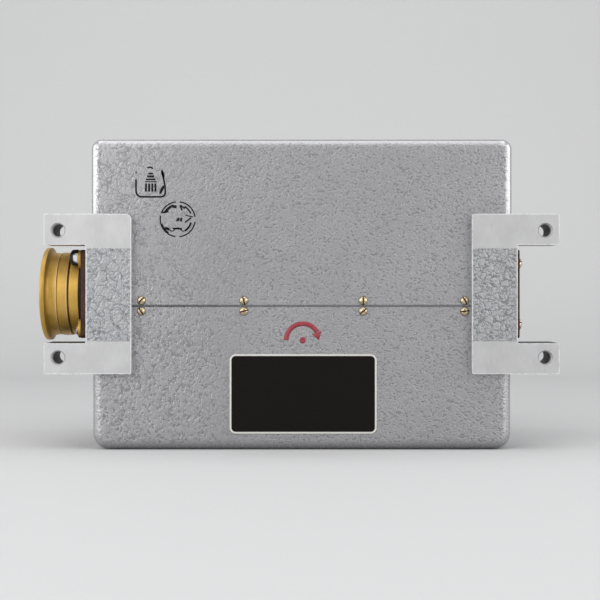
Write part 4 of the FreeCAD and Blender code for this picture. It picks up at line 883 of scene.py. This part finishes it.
def makePlateFinish():
    # Black enamel inside a bare border. The distance to the rim is the rounded rectangle's own:
    # sqrt(a^2 + b^2) - cornerR, with a and b the reach past the straight part in X and in Z.
    p = frontPlate
    material, tree, shader, place = newMaterial("blackPlate", {"Specular IOR Level": 0.12})
    x, _, z = put(tree, "ShaderNodeSeparateXYZ", {0: place}).outputs
    squares = []
    for socket, middle, size in ((x, p["x"], p["width"]), (z, p["z"], p["height"])):
        past = minus(tree, apart(tree, socket, middle * mm), (size / 2 - p["cornerR"]) * mm)
        squares.append(calc(tree, "POWER", calc(tree, "MAXIMUM", past, 0.0), 2.0))
    rim = minus(tree, calc(tree, "SQRT", plus(tree, *squares)), p["cornerR"] * mm)
    bare = riseMm(tree, rim, (-p["border"] - p["blur"], -p["border"] + p["blur"]))
    grain = useGroup(tree, surfaceGrain, {"Vector": place, "Stretch": (0.08, 1.0, 1.0), "Lines": 3000.0,
                                          "Clouds": 40.0})
    scuff = times(tree, rise(tree, noise(tree, place, 900.0, 4.0, 0.7), 0.64, 0.74), 0.25)
    black = tint(tree, scuff, p["black"], p["scuffed"])
    metal = tint(tree, grain["Tone"], p["dull"], p["bright"])
    step = plus(tree, bare, times(tree, grain["Height"], 0.08))
    fill(tree, shader, {"Base Color": tint(tree, bare, black, metal), "Metallic": times(tree, bare, 0.85),
                        "Roughness": plus(tree, times(tree, grain["Tone"], 0.12), 0.32),
                        "Normal": bump(tree, step, 0.05)})
    return material


placePiece("frontPlate", cadCopy("frontPlate", "front_plate"), makePlateFinish(),
           stands=("front_plate",), bevel=0.12)

marks = {"faceY": 3.97, "thickness": 0.05}


def ribbon(path, widths):
    # A flat band on the front face: the path's points moved half a width to each side of its direction
    p = np.asarray(path, float)
    along = np.gradient(p, axis=0)
    along /= np.maximum(np.linalg.norm(along, axis=1, keepdims=True), 1e-9)
    across = np.stack([-along[:, 1], along[:, 0]], axis=-1)
    half = np.broadcast_to(np.asarray(widths, float), len(p))[:, None] / 2
    flat = np.stack([p - across * half, p + across * half], axis=1).reshape(-1, 2)
    verts = np.column_stack([flat[:, 0], np.full(len(flat), marks["faceY"]), flat[:, 1]])
    return verts, gridFaces(len(p), 2)


def arcPath(middle, radius, start, end):
    # Points on a circle between two angles in degrees
    angle = np.radians(np.linspace(start, end, 40))
    return middle + radius * np.stack([np.cos(angle), np.sin(angle)], axis=-1)


def thinMark(name, parts, material):
    piece = placePiece(name, quadMesh(name, *joined(parts)), material)
    coat = piece.modifiers.new("coat", "SOLIDIFY")
    coat.thickness, coat.offset = marks["thickness"] * mm, 0.0


redPaint = grainMaterial("redMark", {"dark": (0.22, 0.02, 0.03), "light": (0.29, 0.033, 0.045), "metallic": 0.0,
                                     "roughness": (0.42, 0.58), "lines": 700.0, "clouds": 300.0, "depth": 0.06,
                                     "dust": 0.0})
blackInk = grainMaterial("blackInk", {"dark": (0.003, 0.003, 0.004), "light": (0.009, 0.009, 0.01),
                                      "metallic": 0.0, "specular": 0.15, "roughness": (0.5, 0.65), "lines": 1200.0,
                                      "clouds": 400.0, "depth": 0.02, "dust": 0.0})

arrow = {"middle": (0.55, -25.2), "radius": 9.0, "width": 2.6, "start": 180, "end": 30, "dot": 1.75,
         "head": [(7.55, 4.21), (8.9, 0.1)], "headWidths": [5.55, 0.15]}


def makeArrow():
    # An arc from the left leg over the top, a triangle at its end, and a dot at its centre
    a = arrow
    arc = ribbon(arcPath(a["middle"], a["radius"], a["start"], a["end"]), a["width"])
    head = ribbon(np.add(a["head"], a["middle"]), a["headWidths"])
    rings = np.array([0.02, 0.5, 1.0])[:, None] * a["dot"]
    angle = np.linspace(0, 2 * math.pi, 40)[None, :]
    dot = np.stack([a["middle"][0] + rings * np.cos(angle), np.full((3, 40), marks["faceY"]),
                    a["middle"][1] + rings * np.sin(angle)], axis=-1)
    return [arc, head, (dot.reshape(-1, 3), gridFaces(3, 40))]


thinMark("redArrow", makeArrow(), redPaint)

# Two worn ink stamps of plain bars, arcs and strokes. Points are millimetres from the stamp's middle, and
# the last number is a share of the stamp's line width.
frameStamp = {
    "middle": (-82.2, 60.9), "cornerR": 3.6, "width": 0.95,
    "paths": [([(-8, 1.2), (-8, -8), (8, -8), (7.84, -2.0), (6.08, 6.4)], 1.0), ([(-8, 4.6), (-8, 5.9)], 0.7),
              ([(-1.6, 7.84), (-0.2, 8.16), (1.0, 7.6)], 1.0), ([(-3.1, 0.3), (3.1, 0.2)], 0.6),
              ([(-2.5, -0.7), (-2.6, -5.2)], 1.15), ([(-0.8, -0.7), (-0.9, -5.2)], 1.2),
              ([(0.85, -0.7), (0.9, -5.2)], 1.15), ([(2.5, -0.7), (2.6, -5.2)], 1.2),
              ([(-2.6, 1.5), (2.6, 1.5)], 1.0), ([(-2.0, 3.1), (1.9, 3.1)], 1.2),
              ([(-1.3, 4.7), (1.2, 4.7)], 1.0)],
    "blots": [((6.6, 4.3), 4.6, 106), ((6.0, -4.2), 5.4, 64)],    # middle, length and tilt
    "blotWidth": 3.0,
}
ringStamp = {
    "middle": (-67.5, 40.7), "radius": 9.5, "width": 0.7,
    "arcs": [(1.0, 8, 84, 1.0), (1.0, 96, 158, 1.0), (1.0, 168, 262, 1.0), (1.0, 276, 352, 1.0),
             (0.86, 112, 150, 0.8), (0.82, 24, 62, 1.2), (0.78, 302, 346, 1.5), (0.93, 196, 236, 0.9)],
    "wave": {"from": -6.2, "to": 6.4, "z": -5.6, "height": 0.9, "weight": 0.8},
    "strokes": [((-8.8, 3.6), (-5.0, 4.2), 1.4), ((-6.6, 4.4), (-3.6, 6.8), 1.6), ((-3.4, 7.2), (-0.6, 6.7), 2.2),
                ((1.2, 7.6), (2.4, 4.8), 1.3), ((1.6, 7.6), (3.8, 5.8), 1.2), ((-0.4, -1.0), (0.8, 0.6), 1.9),
                ((1.6, -1.2), (2.2, 0.8), 1.6), ((3.9, -1.8), (7.4, 0.9), 1.2), ((4.3, 2.2), (8.4, 1.2), 0.8),
                ((-7.0, -4.6), (-4.6, -5.6), 2.0), ((-2.8, -5.0), (2.4, -5.2), 1.3)],
}


def makeFrameStamp():
    # Each path runs through its points with rounded corners. A blot is 0.1 + blotWidth sqrt(1/4 - t^2) wide.
    f = frameStamp
    made = []
    for points, weight in f["paths"]:
        p = np.array(points, float)
        if len(p) > 2:
            ends = np.vstack([p[0], p[0] + 1e-3, p[1:-1], p[-1] - 1e-3, p[-1]])
            p = rounded(ends, f["cornerR"], 6)[3:-3]
        made.append(ribbon(p + f["middle"], f["width"] * weight))
    for middle, length, tilt in f["blots"]:
        t = np.linspace(-0.5, 0.5, 9)
        axis = np.array([math.cos(math.radians(tilt)), math.sin(math.radians(tilt))])
        made.append(ribbon(np.add(f["middle"], middle) + t[:, None] * length * axis,
                           0.1 + f["blotWidth"] * np.sqrt(np.maximum(0, 0.25 - t ** 2))))
    return made


def makeRingStamp():
    # Broken arcs of one circle and inside it, a low wave z + height cos x, and short strokes
    r, wave = ringStamp, ringStamp["wave"]
    x = np.linspace(wave["from"], wave["to"], 40)
    low = np.stack([x, wave["z"] + wave["height"] * np.cos(x)], axis=-1)
    return ([ribbon(arcPath(r["middle"], r["radius"] * share, start, end), r["width"] * weight)
             for share, start, end, weight in r["arcs"]]
            + [ribbon(r["middle"] + low, r["width"] * wave["weight"])]
            + [ribbon(np.add([start, end], r["middle"]), r["width"] * weight)
               for start, end, weight in r["strokes"]])


thinMark("frameStamp", makeFrameStamp(), blackInk)
thinMark("ringStamp", makeRingStamp(), blackInk)
print("stage: plate and marks made")


# Finishes of the inner pieces and small fittings

innerLooks = {
    "chassisMetal": {"nodes": ["chassis"], "dark": (0.50, 0.50, 0.51), "light": (0.62, 0.62, 0.63),
                     "metallic": 0.7, "roughness": (0.4, 0.55), "clouds": 60.0},
    "steelScrews": {"nodes": ["bracket_screws", "gyro_stand_screws"], "dark": (0.48, 0.47, 0.45),
                    "light": (0.66, 0.65, 0.62), "metallic": 0.9, "roughness": (0.3, 0.42), "clouds": 500.0},
    "mouldedInsulator": {"nodes": ["connector_insert"], "dark": (0.05, 0.035, 0.03),
                         "light": (0.085, 0.06, 0.05), "metallic": 0.0, "roughness": (0.35, 0.5), "clouds": 200.0},
    "silveredContacts": {"nodes": ["connector_contacts"], "dark": (0.68, 0.60, 0.42),
                         "light": (0.85, 0.79, 0.62), "metallic": 0.95, "roughness": (0.18, 0.3), "clouds": 400.0},
    "sealRubber": {"nodes": ["cap_gasket"], "dark": (0.02, 0.02, 0.02), "light": (0.045, 0.045, 0.045),
                   "metallic": 0.0, "roughness": (0.55, 0.7), "clouds": 300.0},
    "terminalLaminate": {"nodes": ["terminal_board"], "dark": (0.14, 0.075, 0.03),
                         "light": (0.25, 0.14, 0.06), "metallic": 0.0, "roughness": (0.4, 0.55),
                         "stretch": (0.1, 1.0, 1.0), "clouds": 120.0},
    "transformerIron": {"nodes": ["transformer"], "dark": (0.06, 0.055, 0.05), "light": (0.15, 0.135, 0.115),
                        "metallic": 0.3, "roughness": (0.45, 0.6), "stretch": (0.05, 1.0, 0.05), "depth": 0.1,
                        "clouds": 150.0},
    "drawnCans": {"nodes": ["relays", "capacitors"], "dark": (0.50, 0.50, 0.50), "light": (0.66, 0.66, 0.65),
                  "metallic": 0.85, "roughness": (0.3, 0.42), "stretch": (1.0, 1.0, 0.06), "clouds": 90.0},
}
gyroLooks = {
    "gyroCasting": {"nodes": ["stand", "gimbal", "rocker"], "dark": (0.50, 0.50, 0.50),
                    "light": (0.64, 0.64, 0.63), "metallic": 0.75, "roughness": (0.38, 0.52), "clouds": 110.0},
    "bearingSteel": {"nodes": ["pivot_bearings", "spin_bearings", "spin_axle", "torsion_bar"],
                     "dark": (0.46, 0.46, 0.47), "light": (0.62, 0.62, 0.63), "metallic": 0.95,
                     "roughness": (0.18, 0.28), "clouds": 300.0},
    "pickoffWinding": {"nodes": ["pickoff"], "dark": (0.22, 0.10, 0.04), "light": (0.42, 0.20, 0.09),
                       "metallic": 0.4, "roughness": (0.35, 0.5), "stretch": (0.08, 0.08, 1.0), "depth": 0.08,
                       "clouds": 200.0},
    "rotorAlloy": {"nodes": ["rotor"], "dark": (0.40, 0.385, 0.35), "light": (0.56, 0.54, 0.50),
                   "metallic": 0.95, "roughness": (0.22, 0.34), "stretch": (0.1, 0.1, 1.0), "clouds": 140.0},
    "damperBrass": {"nodes": ["damper_cylinder"], "dark": (0.48, 0.35, 0.15), "light": (0.68, 0.53, 0.27),
                    "metallic": 0.92, "roughness": (0.25, 0.36), "clouds": 200.0},
    "pistonMetal": {"nodes": ["damper_piston"], "dark": (0.52, 0.52, 0.52), "light": (0.66, 0.66, 0.66),
                    "metallic": 0.9, "roughness": (0.25, 0.36), "clouds": 200.0},
}


def dress(nodes, material):
    for node in nodes:
        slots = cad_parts[node].data.materials
        slots.clear()
        slots.append(material)


for name, look in innerLooks.items():
    dress(look["nodes"], grainMaterial(name, look))
for name, look in gyroLooks.items():
    dress([f"gyro_{axis}_{piece}" for axis in "xyz" for piece in look["nodes"]], grainMaterial(name, look))
print("stage: inner pieces finished")


# Floor, backdrop, light and camera

studio = {
    "floorZ": -85.0, "near": -1600.0, "cove": 560.0, "coveR": 420.0, "wallTop": 1700.0, "halfWidth": 2200.0,
    "wall": (0.585, 0.587, 0.589), "floor": (0.558, 0.561, 0.565), "turnsOver": 150.0, "world": 0.46,
    "lamps": {
        "keyLeft": {"place": (-480, -1000, 650), "aim": (0, 30, 10), "size": (700, 700), "power": 1.8},
        "panelLeft": {"place": (-850, -450, 230), "aim": (0, -120, 30), "size": (1560, 1050), "power": 10.4},
        "panelRight": {"place": (850, -450, 230), "aim": (0, -120, 30), "size": (1560, 1050), "power": 9.8},
        "overhead": {"place": (0, -60, 950), "aim": (0, 20, 0), "size": (1100, 900), "power": 5.0},
    },
    "camera": {"place": (1.0, -693.0, 3.25), "lens": 76.8, "sensor": 36.0, "shift": (-3.5 / 600, -12 / 600)},
}


def makeBackdrop():
    # One sheet: flat floor, a quarter circle of coveR, then the wall, carried straight across
    s = studio
    bend = np.linspace(0, math.pi / 2, 40)[1:]
    depth = np.concatenate([np.linspace(s["near"], s["cove"], 20), s["cove"] + s["coveR"] * np.sin(bend),
                            np.full(10, s["cove"] + s["coveR"])])
    level = np.concatenate([np.zeros(20), s["coveR"] * (1 - np.cos(bend)),
                            np.linspace(s["coveR"], s["wallTop"], 11)[1:]]) + s["floorZ"]
    x, y = np.meshgrid(np.linspace(-s["halfWidth"], s["halfWidth"], 24), depth)
    verts = np.stack([x, y, np.repeat(level[:, None], 24, axis=1)], axis=-1).reshape(-1, 3)
    mesh = softened(quadMesh("backdrop", verts, gridFaces(len(depth), 24)), 60)
    material, tree, shader, place = newMaterial("backdropPaper", {"Roughness": 0.9, "Specular IOR Level": 0.1})
    height = put(tree, "ShaderNodeSeparateXYZ", {0: place}).outputs[2]
    cloud = times(tree, noise(tree, place, 1.2), 0.02)
    share = riseMm(tree, plus(tree, height, cloud), (s["floorZ"], s["floorZ"] + s["turnsOver"]))
    fill(tree, shader, {"Base Color": tint(tree, share, s["floor"], s["wall"])})
    mesh.materials.append(material)
    linked("backdrop", mesh)


def makeLight():
    for name, spec in studio["lamps"].items():
        light = bpy.data.lights.new(name, "AREA")
        light.shape = "RECTANGLE"
        light.size, light.size_y = spec["size"][0] * mm, spec["size"][1] * mm
        light.energy = spec["power"]
        lamp = linked(name, light)
        lamp.location = Vector(spec["place"]) * mm
        toward = (Vector(spec["aim"]) - Vector(spec["place"])) * mm
        lamp.rotation_euler = toward.to_track_quat("-Z", "Y").to_euler()
    world = bpy.data.worlds.new("studioWorld")
    world.use_nodes = True
    tree = world.node_tree
    fill(tree, tree.nodes["Background"], {"Color": (1, 1, 1, 1), "Strength": studio["world"]})
    bpy.context.scene.world = world


def makeCamera():
    # Level, straight at the front face, and shifted as the photograph is framed
    view = studio["camera"]
    data = bpy.data.cameras.new("camera")
    data.lens, data.sensor_width = view["lens"], view["sensor"]
    data.shift_x, data.shift_y = view["shift"]
    data.clip_start, data.clip_end = 0.01, 20.0
    camera = linked("camera", data)
    camera.location = Vector(view["place"]) * mm
    camera.rotation_euler = (math.pi / 2, 0, 0)
    bpy.context.scene.camera = camera


makeBackdrop()
makeLight()
makeCamera()
bpy.context.scene.view_settings.view_transform = "Standard"
print("stage: studio ready")
